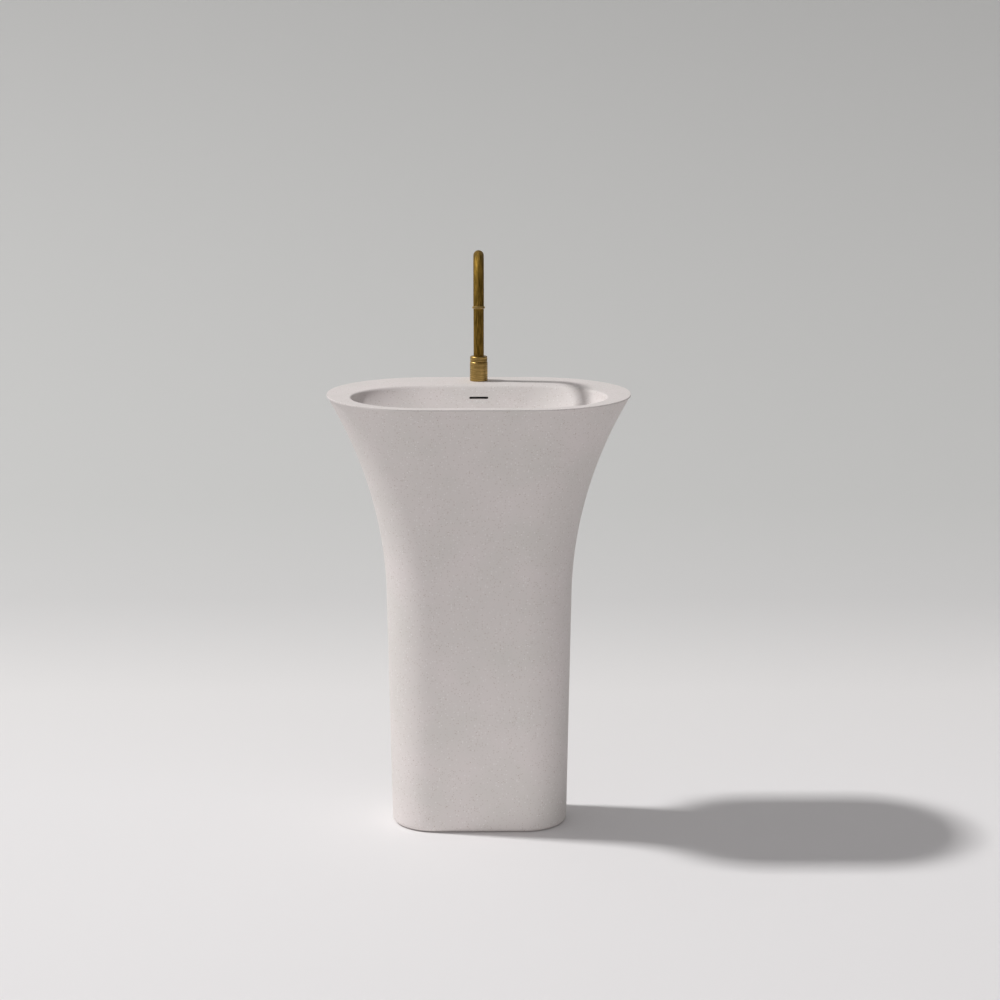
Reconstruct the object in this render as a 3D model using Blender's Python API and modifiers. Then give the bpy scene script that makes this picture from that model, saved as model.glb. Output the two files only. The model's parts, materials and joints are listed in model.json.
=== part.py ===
"""Pedestal sink: cast stone body with a gooseneck tap, its waste, trap, overflow and floor fixings.

Metres, +Z up. The origin is on the floor below the middle of the rim. The front looks along -Y.
"""

import math

import bmesh
import bpy
from mathutils import Matrix, Vector

# Overall sizes. The rim's width and depth run to its sharp edge, before it is rounded
RIM_WIDTH = 0.602
RIM_DEPTH = 0.412
RIM_HEIGHT = 0.875
RIM_CORNER = 0.200
EDGE_ROUND = 0.0020
BASE_WIDTH = 0.353
BASE_DEPTH = 0.184
BASE_CORNER = 0.089
BASE_Y = -0.018
BASE_ROUND = 0.010
DRAFT = 0.0176  # how far each side leans out per metre of height, below the flare
FLARE_START = 0.475

# Clearances
GAP = 0.0003  # between pieces that touch
CUT_PAST = 0.010  # how far a cutter runs past the face it starts from
RIM_CLEARANCE = 0.0010  # between the bowl's underside and the shell, at the front rim

# Stone walls
SHELL_WALL = 0.014
FOOT_WALL = 0.028
FOOT_HEIGHT = 0.030
DECK = 0.018
BOWL_WALL = 0.012
FLOOR_WALL = 0.012

# Bowl
SIDE_RIM = 0.051
BACK_DECK = 0.115
BOWL_CORNER = 0.149
BOWL_DROP = 0.092
BOWL_CURVE = 1.05  # 1 is a straight slope; more is steeper near the rim
BOWL_END_CURVE = 1.85  # the same for the two ends, against the front and back
BOWL_EDGE = 0.004
DRAIN_BACK = 0.0  # how far the drain sits behind the bowl's middle
SLOT_WIDTH = 0.038
SLOT_HEIGHT = 0.004
SLOT_BELOW_RIM = 0.0215

# Service opening in the back of the shell, open up to the deck
SERVICE_WIDTH = 0.180
SERVICE_FROM = 0.100
SERVICE_CORNER = 0.050

# Waste
WASTE_TUBE = 0.021
WASTE_WALL = 0.0025
WASTE_LENGTH = 0.083
FLANGE_RIM = 0.011
FLANGE_THICK = 0.0025
FLANGE_SINK = 0.0035
FLANGE_PROUD = 0.0006
FLANGE_MARGIN = 0.0015  # between the flange and the edge of its seat in the stone
DRAIN_MARGIN = 0.002  # between the waste's tube and the hole in the stone
PORT_RADIUS = 0.009
PORT_BORE = 0.0065
PORT_BELOW_DRAIN = 0.048
PORT_REACH = 0.042
PLUG_TRAVEL = 0.0075
PLUG_EDGE = 0.002
PLUG_CROWN = 0.0045
SPINDLE = 0.004
GUIDE_HEIGHT = 0.012
GUIDE_ABOVE_END = 0.0055
GUIDE_HOLE = 0.004

# Trap
PIPE = 0.016
PIPE_BORE = 0.0146
TRAP_RADIUS = 0.031
TRAP_WALL = 0.0025
TRAP_BELOW_WASTE = 0.083
TRAP_LENGTH = 0.155
TRAP_SHOULDER = 0.006
NECK_WALL = 0.003
NECK_HEIGHT = 0.020
CUP_HEIGHT = 0.045
CUP_GRIP = 0.014
CUP_ROUND = 0.003
DIP_ABOVE_CUP = 0.075
OUTLET_BELOW_TOP = 0.035
OUTLET_PAST_BACK = 0.024  # how far the outlet pipe runs past the back of the foot
STUB_WALL = 0.0015
STUB_REACH = 0.017

# Seals, washers and nuts
SEAL = 0.0030
THIN_SEAL = 0.0025
SLIP_WASHER = 0.0017
STEEL_WASHER = 0.0020
LOCKNUT = 0.010
LOCKNUT_RIM = 0.006
NUT_WALL = 0.005
NUT_LIP = 0.004
NUT_GRIP = 0.014
TUBE_FLANGE = 0.0022
LEAD_IN = 0.0010

# Overflow
OVERFLOW_BOX_WALL = 0.002
OVERFLOW_BOX_HEIGHT = 0.0247
OVERFLOW_PIPE = 0.008
OVERFLOW_PIPE_BORE = 0.0062
OVERFLOW_BEND = 0.025
SPIGOT = 0.012
SMALL_NUT_WALL = 0.004
SMALL_NUT_GRIP = 0.009

# Tap
TAP_FROM_BACK = 0.048
TAP_WALL = 0.0041
TAP_BODY = 0.040
RING_HEIGHT = 0.010
RING_STEP = 0.0005  # how much narrower the ring is than the body below its seam
CAVITY_BELOW_TOP = 0.0315
CARTRIDGE = 0.0162
CARTRIDGE_BORE = 0.004
DRIVE = 0.0032
DRIVE_BORE = 0.006
TAP_CHAMFER = 0.0015
SOCKET = 0.005
SEAL_SEAT = 0.0020
SHANK_RADIUS = 0.012
SHANK_WALL = 0.0025
SHANK_BELOW_DECK = 0.037
WASHER_RIM = 0.010
NIPPLE_BORE = 0.003
NIPPLE_LENGTH = 0.068
SPOUT_RADIUS = 0.0105
SPOUT_WALL = 0.0015
SPOUT_TOP = 0.2725  # outer top of the bend above the rim
SPOUT_BEND = 0.065
SPOUT_SWEEP = math.radians(165)
SPOUT_DROP = 0.046
TAIL_BORE = 0.006
TAIL_END = 0.0025
GROOVE = 0.0022
GROOVE_DEPTH = 0.0025
LAND = 0.0013
COLLAR_STEP = 0.002
COLLAR_HEIGHT = 0.003
SLEEVE = 0.008
SLEEVE_WALL = 0.001
AERATOR_UP = 0.003
AERATOR_RECESS = 0.0005
AERATOR_HOLE = 0.0016
AERATOR_PITCH = 0.0046

# Floor brackets
BRACKET_X = 0.070
BRACKET_LEG = 0.035
BRACKET_WIDTH = 0.030
BRACKET_THICK = 0.003
SCREW_HEIGHT = 0.022
SCREW_RADIUS = 0.0030
SCREW_SLACK = 0.0004
SCREW_HEAD = 0.0051
SCREW_SHORT = 0.002  # how far the screw's tip stays inside its insert
FLOOR_HOLE = 0.0228  # from the upright leg's face
INSERT_RADIUS = 0.0045
INSERT_LENGTH = 0.014

# Segments
ARC_STEPS = 9  # in each rounded corner of the stone
TURN_STEPS = 20
HIDDEN_STEPS = 16
PIPE_SIDES = 12
BEND_STEPS = 5
SPOUT_STEPS = 12
SHARP = math.radians(35)  # an edge sharper than this stays crisp when shaded

# Worked out from the sizes above
DECK_UNDERSIDE = RIM_HEIGHT - DECK
DRAIN_LEVEL = RIM_HEIGHT - BOWL_DROP
FLOOR_UNDERSIDE = DRAIN_LEVEL - FLOOR_WALL
SLOT_LEVEL = RIM_HEIGHT - SLOT_BELOW_RIM
FRONT_RIM = SHELL_WALL + BOWL_WALL + RIM_CLEARANCE
BOWL_WIDTH = RIM_WIDTH - 2 * SIDE_RIM
BOWL_DEPTH = RIM_DEPTH - FRONT_RIM - BACK_DECK
BOWL_Y = (FRONT_RIM - BACK_DECK) / 2
DRAIN_Y = BOWL_Y + DRAIN_BACK
DRAIN = (0, DRAIN_Y, 0)
DRAIN_BORE = WASTE_TUBE + DRAIN_MARGIN
WASTE_BORE = WASTE_TUBE - WASTE_WALL
FLANGE_RADIUS = WASTE_TUBE + FLANGE_RIM
FLANGE_SEAT = FLANGE_RADIUS + FLANGE_MARGIN
FLANGE_TOP = DRAIN_LEVEL + FLANGE_PROUD
SEAT_LEVEL = DRAIN_LEVEL - FLANGE_SINK
PORT_LEVEL = DRAIN_LEVEL - PORT_BELOW_DRAIN
WASTE_END = FLANGE_TOP - WASTE_LENGTH
TRAP_TOP = WASTE_END - TRAP_BELOW_WASTE
TRAP_BOTTOM = TRAP_TOP - TRAP_LENGTH
OUTLET_HEIGHT = TRAP_TOP - OUTLET_BELOW_TOP
OUTLET_END_Y = BASE_Y + BASE_DEPTH / 2 + OUTLET_PAST_BACK
TAP_Y = RIM_DEPTH / 2 - TAP_FROM_BACK
TAP = (0, TAP_Y, 0)
CAVITY = SPOUT_RADIUS + 0.0034
CAVITY_FLOOR = RIM_HEIGHT + TAP_BODY - CAVITY_BELOW_TOP
CARTRIDGE_TOP = CAVITY_FLOOR + CARTRIDGE
SOCKET_TOP = RIM_HEIGHT + SOCKET
TAP_RADIUS = CAVITY + TAP_WALL
SEAL_RADIUS = TAP_RADIUS - 0.0012
RING_RADIUS = TAP_RADIUS - RING_STEP
TAP_HOLE = SHANK_RADIUS + 0.002
SHANK_BORE = SHANK_RADIUS - SHANK_WALL
WASHER = SHANK_RADIUS + WASHER_RIM
NIPPLE = SHANK_BORE / 2 - GAP
NIPPLE_X = SHANK_BORE / 2
NIPPLE_END = SOCKET_TOP - NIPPLE_LENGTH
NIPPLES = (("hot_inlet_nipple", -NIPPLE_X), ("cold_inlet_nipple", NIPPLE_X))
SPOUT_BORE = SPOUT_RADIUS - SPOUT_WALL
COLLAR_RADIUS = SPOUT_RADIUS + COLLAR_STEP
BRACKETS = (("left", -BRACKET_X), ("right", BRACKET_X))
FOOT_FACE = BASE_Y - BASE_DEPTH / 2 + FOOT_WALL  # inner face of the foot's front wall


def clear_scene():
    for old in list(bpy.data.objects):
        bpy.data.objects.remove(old)


def collection(name):
    made = bpy.data.collections.new(name)
    bpy.context.scene.collection.children.link(made)
    return made


clear_scene()
PARTS = collection("pedestal_sink")
CUTTERS = collection("cutters")


def material(name, colour, roughness, metallic=0.0):
    made = bpy.data.materials.new(name)
    made.use_nodes = True
    shader = made.node_tree.nodes["Principled BSDF"]
    shader.inputs["Base Color"].default_value = (*colour, 1.0)
    shader.inputs["Roughness"].default_value = roughness
    shader.inputs["Metallic"].default_value = metallic
    return made


STONE = material("cast_stone", (0.62, 0.58, 0.56), 0.6)
BRUSHED_BRASS = material("brushed_brass", (0.42, 0.29, 0.11), 0.35, 1.0)
RAW_BRASS = material("raw_brass", (0.60, 0.45, 0.20), 0.4, 1.0)
CHROME = material("chrome", (0.70, 0.70, 0.70), 0.12, 1.0)
STEEL = material("zinc_plated_steel", (0.55, 0.56, 0.57), 0.4, 1.0)
RUBBER = material("black_rubber", (0.02, 0.02, 0.02), 0.8)
PLASTIC = material("white_plastic", (0.75, 0.75, 0.73), 0.45)
CERAMIC = material("cartridge_plastic", (0.30, 0.31, 0.32), 0.4)


def place(obj, finish, where=PARTS):
    where.objects.link(obj)
    if finish:
        obj.data.materials.append(finish)
    else:
        obj.hide_render = True
        obj.display_type = "WIRE"
    return obj


def mesh_object(name, points, faces, finish, where=PARTS):
    mesh = bpy.data.meshes.new(name)
    mesh.from_pydata(points, [], faces)
    mesh.shade_smooth()
    mesh.set_sharp_from_angle(angle=SHARP)
    return place(bpy.data.objects.new(name, mesh), finish, where)


def boolean(obj, other, operation="DIFFERENCE"):
    made = obj.modifiers.new(other.name, "BOOLEAN")
    made.operation = operation
    made.solver = "EXACT"
    made.object = other


def turned(name, profile, axis_at, finish, steps=HIDDEN_STEPS, along_y=False, where=PARTS):
    """A ring section (radius, height), listed down its outer side and up its inner one, turned about Z.

    A section whose ends lie on the axis stays open there. along_y lays the axis along +Y.
    """
    mesh = bpy.data.meshes.new(name)
    count = len(profile)
    on_axis = profile[0][0] == 0 and profile[-1][0] == 0
    edges = [(i, (i + 1) % count) for i in range(count - on_axis)]
    mesh.from_pydata([(r, 0.0, z) for r, z in profile], edges, [])
    obj = place(bpy.data.objects.new(name, mesh), finish, where)
    obj.location = axis_at
    if along_y:
        obj.rotation_euler.x = -math.pi / 2
    turn = obj.modifiers.new("turn", "SCREW")
    turn.axis = "Z"
    turn.steps = turn.render_steps = steps
    turn.use_merge_vertices = True
    turn.merge_threshold = 0.0001
    return obj


def ring(name, outer, inner, low, high, axis_at, finish, steps=HIDDEN_STEPS, along_y=False):
    """A plain tube, washer or ring."""
    profile = [(outer, high), (outer, low), (inner, low), (inner, high)]
    return turned(name, profile, axis_at, finish, steps, along_y)


def cap_nut(name, outer, bore, hole, mouth, shelf, end, axis_at, along_y=False):
    """A round nut: its bore runs from the mouth to the shelf, and a lip with a smaller hole ends it."""
    profile = [(outer, mouth), (outer, end), (hole, end), (hole, shelf), (bore, shelf), (bore, mouth)]
    if end > mouth:
        profile = [(outer, end), (outer, mouth), (bore, mouth), (bore, shelf), (hole, shelf), (hole, end)]
    return turned(name, profile, axis_at, CHROME, along_y=along_y)


def solid_along_y(name, radius, low, high, axis_at):
    """A solid rod along Y, used to join or cut."""
    profile = [(0, high), (radius, high), (radius, low), (0, low)]
    return turned(name, profile, axis_at, None, along_y=True, where=CUTTERS)


def cylinder_cutter(name, radius, start, direction, length, steps=HIDDEN_STEPS):
    """A closed cylinder from start, along direction."""
    mesh = bpy.data.meshes.new(name)
    build = bmesh.new()
    turn = Vector(direction).to_track_quat("Z", "Y").to_matrix().to_4x4()
    middle = Vector(start) + Vector(direction).normalized() * length / 2
    bmesh.ops.create_cone(
        build,
        cap_ends=True,
        segments=steps,
        radius1=radius,
        radius2=radius,
        depth=length,
        matrix=Matrix.Translation(middle) @ turn,
    )
    build.to_mesh(mesh)
    build.free()
    return place(bpy.data.objects.new(name, mesh), None, CUTTERS)


def box(name, low, high, finish, where, round_along_y=0.0):
    """A box between two corners; its edges along Y may be rounded."""
    build = bmesh.new()
    size = Vector(high) - Vector(low)
    middle = (Vector(high) + Vector(low)) / 2
    bmesh.ops.create_cube(build, size=1.0, matrix=Matrix.Translation(middle) @ Matrix.Diagonal((*size, 1.0)))
    if round_along_y:
        edges = [e for e in build.edges if abs((e.verts[0].co - e.verts[1].co).normalized().y) > 0.9]
        bmesh.ops.bevel(build, geom=edges, offset=round_along_y, segments=5, profile=0.5, affect="EDGES")
    mesh = bpy.data.meshes.new(name)
    build.to_mesh(mesh)
    build.free()
    return place(bpy.data.objects.new(name, mesh), finish, where)


def box_cutter(name, low, high, round_along_y=0.0):
    return box(name, low, high, None, CUTTERS, round_along_y)


def circle(centre_x, centre_y, radius, sides):
    angles = [2 * math.pi * i / sides for i in range(sides)]
    return [(centre_x + radius * math.cos(a), centre_y + radius * math.sin(a)) for a in angles]


def flat_piece(name, outlines, thickness, finish, where=PARTS):
    """A flat filled outline with its holes, extruded by half the thickness each way."""
    data = bpy.data.curves.new(name, "CURVE")
    data.dimensions = "2D"
    data.fill_mode = "BOTH"
    data.extrude = thickness / 2
    for outline in outlines:
        spline = data.splines.new("POLY")
        spline.points.add(len(outline) - 1)
        for point, (x, y) in zip(spline.points, outline):
            point.co = (x, y, 0.0, 1.0)
        spline.use_cyclic_u = True
    return place(bpy.data.objects.new(name, data), finish, where)


def hexagon_nut(name, across_flats, bore, low, high, axis_at, finish, steps=HIDDEN_STEPS):
    corner = across_flats / 2 / math.cos(math.pi / 6)
    outlines = (circle(0, 0, corner, 6), circle(0, 0, bore, steps))
    nut = flat_piece(name, outlines, high - low, finish)
    nut.location = (axis_at[0], axis_at[1], (low + high) / 2)


def pierced_disc(name, radius, centre_hole, hole, pitch, low, high, finish):
    """A disc with a centre hole and six more round it, flat at the origin: the caller places it."""
    around = [math.pi / 3 * i for i in range(6)]
    outlines = [circle(0, 0, radius, HIDDEN_STEPS), circle(0, 0, centre_hole, HIDDEN_STEPS)]
    outlines += [circle(pitch * math.cos(a), pitch * math.sin(a), hole, 8) for a in around]
    return flat_piece(name, outlines, high - low, finish)


def as_mesh(obj, name):
    """The evaluated shape of a curve as a mesh object in the same place, its caps joined; the curve goes."""
    bpy.context.view_layer.update()
    evaluated = obj.evaluated_get(bpy.context.evaluated_depsgraph_get())
    mesh = bpy.data.meshes.new_from_object(evaluated)
    build = bmesh.new()
    build.from_mesh(mesh)
    bmesh.ops.remove_doubles(build, verts=build.verts, dist=0.00001)
    bmesh.ops.recalc_face_normals(build, faces=build.faces)
    build.to_mesh(mesh)
    build.free()
    mesh.shade_smooth()
    mesh.set_sharp_from_angle(angle=SHARP)
    made = bpy.data.objects.new("made", mesh)
    for home in obj.users_collection:
        home.objects.link(made)
    made.matrix_world = obj.matrix_world.copy()
    made.hide_render = obj.hide_render
    made.display_type = obj.display_type
    bpy.data.objects.remove(obj)
    made.name = name
    return made


def rod(name, route, radius, sides, finish, where):
    """A round bar with an even number of sides along a route of points."""
    data = bpy.data.curves.new(name, "CURVE")
    data.dimensions = "3D"
    data.bevel_depth = radius
    data.bevel_resolution = sides // 2 - 2
    data.use_fill_caps = True
    spline = data.splines.new("POLY")
    spline.points.add(len(route) - 1)
    for point, place_at in zip(spline.points, route):
        point.co = (*place_at, 1.0)
    return as_mesh(place(bpy.data.objects.new(name, data), finish, where), name)


def hollow_tube(name, route, radius, bore, sides, finish):
    """A bar with a thinner one cut out along the same route, run a little past both ends."""
    tube = rod(name, route, radius, sides, finish, PARTS)
    first = Vector(route[0]) + (Vector(route[0]) - Vector(route[1])).normalized() * CUT_PAST
    last = Vector(route[-1]) + (Vector(route[-1]) - Vector(route[-2])).normalized() * CUT_PAST
    through = [tuple(first)] + route[1:-1] + [tuple(last)]
    boolean(tube, rod(name + "_bore", through, bore, sides, None, CUTTERS))
    return tube


def quarter_round(radius):
    """(inset, rise) along a rounded edge, from the end that is drawn in fully; the far end is left out."""
    angles = (0, math.pi / 6, math.pi / 3)
    return [(radius * (1 - math.sin(a)), radius * (1 - math.cos(a))) for a in angles]


# Stone sections


def section(half_width, half_depth, corner_x, corner_y, centre_y, height):
    """A rounded rectangle, anticlockwise from above, with quarter ellipses at its corners."""
    corner_x = min(corner_x, half_width - GAP)
    corner_y = min(corner_y, half_depth - GAP)
    points = []
    for quarter, (side_x, side_y) in enumerate(((1, 1), (-1, 1), (-1, -1), (1, -1))):
        for step in range(ARC_STEPS + 1):
            angle = math.pi / 2 * (quarter + step / ARC_STEPS)
            x = side_x * (half_width - corner_x) + corner_x * math.cos(angle)
            y = side_y * (half_depth - corner_y) + corner_y * math.sin(angle)
            points.append((x, centre_y + y, height))
    return points


def flare(height):
    """0 below the flare and 1 at the rim, along an arc that leaves the column upright."""
    if height <= FLARE_START:
        return 0.0
    side = (RIM_WIDTH - BASE_WIDTH) / 2 - DRAFT * RIM_HEIGHT
    rise = RIM_HEIGHT - FLARE_START
    radius = (rise**2 + side**2) / (2 * side)
    return (radius - math.sqrt(radius**2 - (height - FLARE_START) ** 2)) / side


def outside(height, inset=0.0):
    """The column's and flare's section at a height, drawn in by inset."""
    lean = DRAFT * height
    full = DRAFT * RIM_HEIGHT
    share = flare(height)
    half_width = BASE_WIDTH / 2 + lean + share * (RIM_WIDTH / 2 - BASE_WIDTH / 2 - full)
    half_depth = BASE_DEPTH / 2 + lean + share * (RIM_DEPTH / 2 - BASE_DEPTH / 2 - full)
    corner = BASE_CORNER + lean + share * (RIM_CORNER - BASE_CORNER - full) - inset
    return section(half_width - inset, half_depth - inset, corner, corner, BASE_Y * (1 - share), height)


def bowl(depth, wall=0.0, sink=0.0):
    """The bowl's section at a depth below the rim; wall and sink move it out and down for its underside. The ends
    fall steeply near the rim and then ease, so the bowl's lower part is a trough that runs to the drain."""
    share = (1 - depth / BOWL_DROP) ** (1 / BOWL_CURVE)
    end_share = 1 - (1 - share) ** BOWL_END_CURVE
    half_width = FLANGE_SEAT + end_share * (BOWL_WIDTH / 2 - FLANGE_SEAT) + wall
    half_depth = FLANGE_SEAT + share * (BOWL_DEPTH / 2 - FLANGE_SEAT) + wall
    corner_x = FLANGE_SEAT + end_share * (BOWL_CORNER - FLANGE_SEAT) + wall
    centre_y = DRAIN_Y + (BOWL_Y - DRAIN_Y) * (1 - depth / BOWL_DROP)
    return section(half_width, half_depth, corner_x, half_depth, centre_y, RIM_HEIGHT - depth - sink)


def bowl_back(depth):
    """The Y of the bowl's outer back face at a depth below the rim."""
    return max(y for x, y, z in bowl(depth, BOWL_WALL))


def bowl_cutter():
    """The bowl's outer shape with a gap around it, with a pinhole down its middle to close the loft."""
    out = BOWL_WALL + 2 * GAP
    rows = [section(GAP, GAP, GAP, GAP, DRAIN_Y, RIM_HEIGHT)]
    for share in (0, 0.12, 0.25, 0.4, 0.55, 0.7, 0.85):
        depth = BOWL_DROP * share
        rows.append(bowl(depth, out, FLOOR_WALL * share + 2 * GAP * (share > 0)))
    rows.append(section(GAP, GAP, GAP, GAP, DRAIN_Y, rows[-1][0][2]))
    return loft("bowl_shape", rows[::-1], None, CUTTERS)


def disc(radius, height):
    return section(radius, radius, radius, radius, DRAIN_Y, height)


def loft(name, sections, finish, where=PARTS):
    """A closed skin through sections of equal point count, the last joined back to the first."""
    count = len(sections[0])
    levels = len(sections)
    points = [point for one in sections for point in one]
    faces = []
    for level in range(levels):
        above = (level + 1) % levels
        for i in range(count):
            j = (i + 1) % count
            faces.append((level * count + i, level * count + j, above * count + j, above * count + i))
    return mesh_object(name, points, faces, finish, where)


def make_pedestal_shell():
    top = DECK_UNDERSIDE - GAP
    heights = [FLARE_START + (top - FLARE_START) * share for share in (0.18, 0.36, 0.52, 0.66, 0.78, 0.89, 1)]
    outer = [outside(z, inset) for inset, z in quarter_round(BASE_ROUND)]
    outer += [outside(z) for z in [BASE_ROUND, 0.5 * FLARE_START, FLARE_START] + heights]
    inner = [outside(z, SHELL_WALL) for z in reversed([FLARE_START] + heights)]
    inner += [outside(FOOT_HEIGHT + FOOT_WALL - SHELL_WALL, SHELL_WALL)]
    inner += [outside(z, FOOT_WALL) for z in (FOOT_HEIGHT, 0.0)]
    shell = loft("pedestal_shell", outer + inner, STONE)
    low = (-SERVICE_WIDTH / 2, BASE_Y, SERVICE_FROM)
    high = (SERVICE_WIDTH / 2, RIM_DEPTH, RIM_HEIGHT + SERVICE_CORNER)
    boolean(shell, box_cutter("service_opening", low, high, SERVICE_CORNER))
    for side, x in BRACKETS:
        start = (x, FOOT_FACE + CUT_PAST, SCREW_HEIGHT)
        length = INSERT_LENGTH + 2 * GAP + CUT_PAST
        hole = INSERT_RADIUS + GAP
        boolean(shell, cylinder_cutter("insert_hole_" + side, hole, start, (0, -1, 0), length))


def make_basin():
    rim = [outside(DECK_UNDERSIDE), outside(RIM_HEIGHT - 0.4 * DECK)]
    rim += [outside(RIM_HEIGHT - EDGE_ROUND)]
    rim += [outside(RIM_HEIGHT - rise, inset) for inset, rise in reversed(quarter_round(EDGE_ROUND))]
    edge = [bowl(depth, out) for out, depth in quarter_round(BOWL_EDGE)]
    wall_run = BOWL_DROP - BOWL_EDGE
    shares = (0, 0.1, 0.22, 0.36, 0.5, 0.64, 0.77, 0.88, 0.96, 1)
    inside = [bowl(BOWL_EDGE + wall_run * share) for share in shares]
    inside += [disc(FLANGE_SEAT, SEAT_LEVEL), disc(DRAIN_BORE, SEAT_LEVEL)]
    under = [disc(DRAIN_BORE, FLOOR_UNDERSIDE), disc(FLANGE_SEAT + BOWL_WALL, FLOOR_UNDERSIDE)]
    depths = [BOWL_DROP * share for share in (0.96, 0.88, 0.74, 0.58, 0.4, 0.25)]
    under += [bowl(depth, BOWL_WALL, FLOOR_WALL * depth / BOWL_DROP) for depth in depths]
    under += [bowl(DECK, BOWL_WALL)]
    basin = loft("basin", rim + edge + inside + under, STONE)
    above = (0, TAP_Y, RIM_HEIGHT + CUT_PAST)
    boolean(basin, cylinder_cutter("tap_hole", TAP_HOLE, above, (0, 0, -1), DECK + 2 * CUT_PAST, TURN_STEPS))
    low = (-SLOT_WIDTH / 2, BOWL_Y, SLOT_LEVEL - SLOT_HEIGHT / 2)
    high = (SLOT_WIDTH / 2, bowl_back(SLOT_BELOW_RIM) + CUT_PAST, SLOT_LEVEL + SLOT_HEIGHT / 2)
    boolean(basin, box_cutter("overflow_slot", low, high))


# Overflow


def make_overflow():
    """A moulded box that fits the bowl's back behind the slot, and a pipe from it to the waste's side port."""
    wall = OVERFLOW_BOX_WALL
    high_z = DECK_UNDERSIDE - GAP
    low_z = high_z - OVERFLOW_BOX_HEIGHT
    front = bowl_back(RIM_HEIGHT - high_z) + 2 * GAP
    pipe_y = front + wall + OVERFLOW_PIPE + GAP
    half_width = SLOT_WIDTH / 2 + 4 * wall
    low = Vector((-half_width, bowl_back(RIM_HEIGHT - low_z) - FLOOR_WALL, low_z))
    high = Vector((half_width, pipe_y + OVERFLOW_PIPE + 2 * wall, high_z))
    housing = box("overflow_box", low, high, PLASTIC, PARTS)
    spigot_end = low_z - SPIGOT
    start = (0, pipe_y, low_z + wall / 2)
    stub = cylinder_cutter("overflow_spigot", OVERFLOW_PIPE, start, (0, 0, -1), SPIGOT + wall / 2)
    boolean(housing, stub, "UNION")
    inside = Vector((wall, wall, wall))
    cavity_low = Vector((low.x + wall, low.y - CUT_PAST, low_z + wall))
    boolean(housing, box_cutter("overflow_cavity", cavity_low, high - inside))
    boolean(housing, bowl_cutter())
    start = (0, pipe_y, low_z + 2 * wall)
    boolean(housing, cylinder_cutter("spigot_bore", OVERFLOW_PIPE_BORE, start, (0, 0, -1), SPIGOT + CUT_PAST))

    bend = OVERFLOW_BEND
    port_end = DRAIN_Y + PORT_REACH
    route = [(0, port_end + GAP, PORT_LEVEL)]
    for step in range(BEND_STEPS + 1):
        angle = math.pi / 2 * step / BEND_STEPS
        y = pipe_y - bend + bend * math.sin(angle)
        route.append((0, y, PORT_LEVEL + bend - bend * math.cos(angle)))
    route.append((0, pipe_y, spigot_end - GAP))
    hollow_tube("overflow_pipe", route, OVERFLOW_PIPE, OVERFLOW_PIPE_BORE, PIPE_SIDES, PLASTIC)

    wall = SMALL_NUT_WALL
    grip = SMALL_NUT_GRIP
    bore = OVERFLOW_PIPE + GAP
    at = (0, pipe_y, 0)
    ring("overflow_nut_upper", bore + wall, bore, spigot_end - grip, low_z - 2 * GAP, at, PLASTIC)
    bore = PORT_RADIUS + GAP
    at = (0, 0, PORT_LEVEL)
    low = port_end - grip
    ring("overflow_nut_lower", bore + wall, bore, low, port_end + grip, at, PLASTIC, along_y=True)


# Waste


def make_waste():
    top = FLANGE_TOP
    under = top - FLANGE_THICK
    bottom = WASTE_END
    body = turned(
        "waste_body",
        [
            (FLANGE_RADIUS - LEAD_IN, top),
            (FLANGE_RADIUS, top - LEAD_IN),
            (FLANGE_RADIUS, under),
            (WASTE_TUBE, under),
            (WASTE_TUBE, bottom),
            (WASTE_BORE, bottom),
            (WASTE_BORE, top - LEAD_IN),
            (WASTE_BORE + LEAD_IN, top),
        ],
        DRAIN,
        CHROME,
    )
    stub_at = (0, 0, PORT_LEVEL)
    end = DRAIN_Y + PORT_REACH
    middle_of_wall = DRAIN_Y + (WASTE_TUBE + WASTE_BORE) / 2
    boolean(body, solid_along_y("waste_port", PORT_RADIUS, middle_of_wall, end, stub_at), "UNION")
    boolean(body, solid_along_y("waste_port_bore", PORT_BORE, DRAIN_Y, end + CUT_PAST, stub_at))

    outer = FLANGE_RADIUS - LEAD_IN
    ring("waste_seal_upper", outer, DRAIN_BORE + GAP, SEAT_LEVEL + GAP, under - GAP, DRAIN, RUBBER)
    bore = WASTE_TUBE + GAP
    high = FLOOR_UNDERSIDE - GAP
    ring("waste_seal_lower", FLANGE_RADIUS, bore, high - SEAL, high, DRAIN, RUBBER)
    high -= SEAL + GAP
    ring("waste_washer", outer, bore, high - SLIP_WASHER, high, DRAIN, PLASTIC)
    high -= SLIP_WASHER + GAP
    across = 2 * (WASTE_TUBE + LOCKNUT_RIM)
    hexagon_nut("waste_locknut", across, bore, high - LOCKNUT, high, DRAIN, RAW_BRASS)


def make_plug():
    """The plug stands open at rest and goes down by PLUG_TRAVEL onto the waste's mouth."""
    under = FLANGE_TOP + PLUG_TRAVEL + GAP
    radius = FLANGE_RADIUS - LEAD_IN
    guide_low = WASTE_END + GUIDE_ABOVE_END
    guide_high = guide_low + GUIDE_HEIGHT
    spindle_end = guide_low + PLUG_TRAVEL / 2
    top = under + PLUG_CROWN
    crown = [(share * radius, top - (PLUG_CROWN - PLUG_EDGE) * share**2) for share in (0, 0.5, 0.8, 1)]
    stem = [(radius, under), (SPINDLE, under), (SPINDLE, spindle_end), (0, spindle_end)]
    turned("click_plug", crown + stem, DRAIN, CHROME)
    bore = SPINDLE + GAP
    ring("plug_seal", WASTE_BORE - 2 * GAP, bore, under - THIN_SEAL - GAP, under - GAP, DRAIN, RUBBER)
    radius = WASTE_BORE - GAP
    pitch = (radius + SPINDLE) / 2
    guide = pierced_disc("plug_guide", radius, bore, GUIDE_HOLE, pitch, guide_low, guide_high, PLASTIC)
    guide.location = (0, DRAIN_Y, (guide_low + guide_high) / 2)


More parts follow.
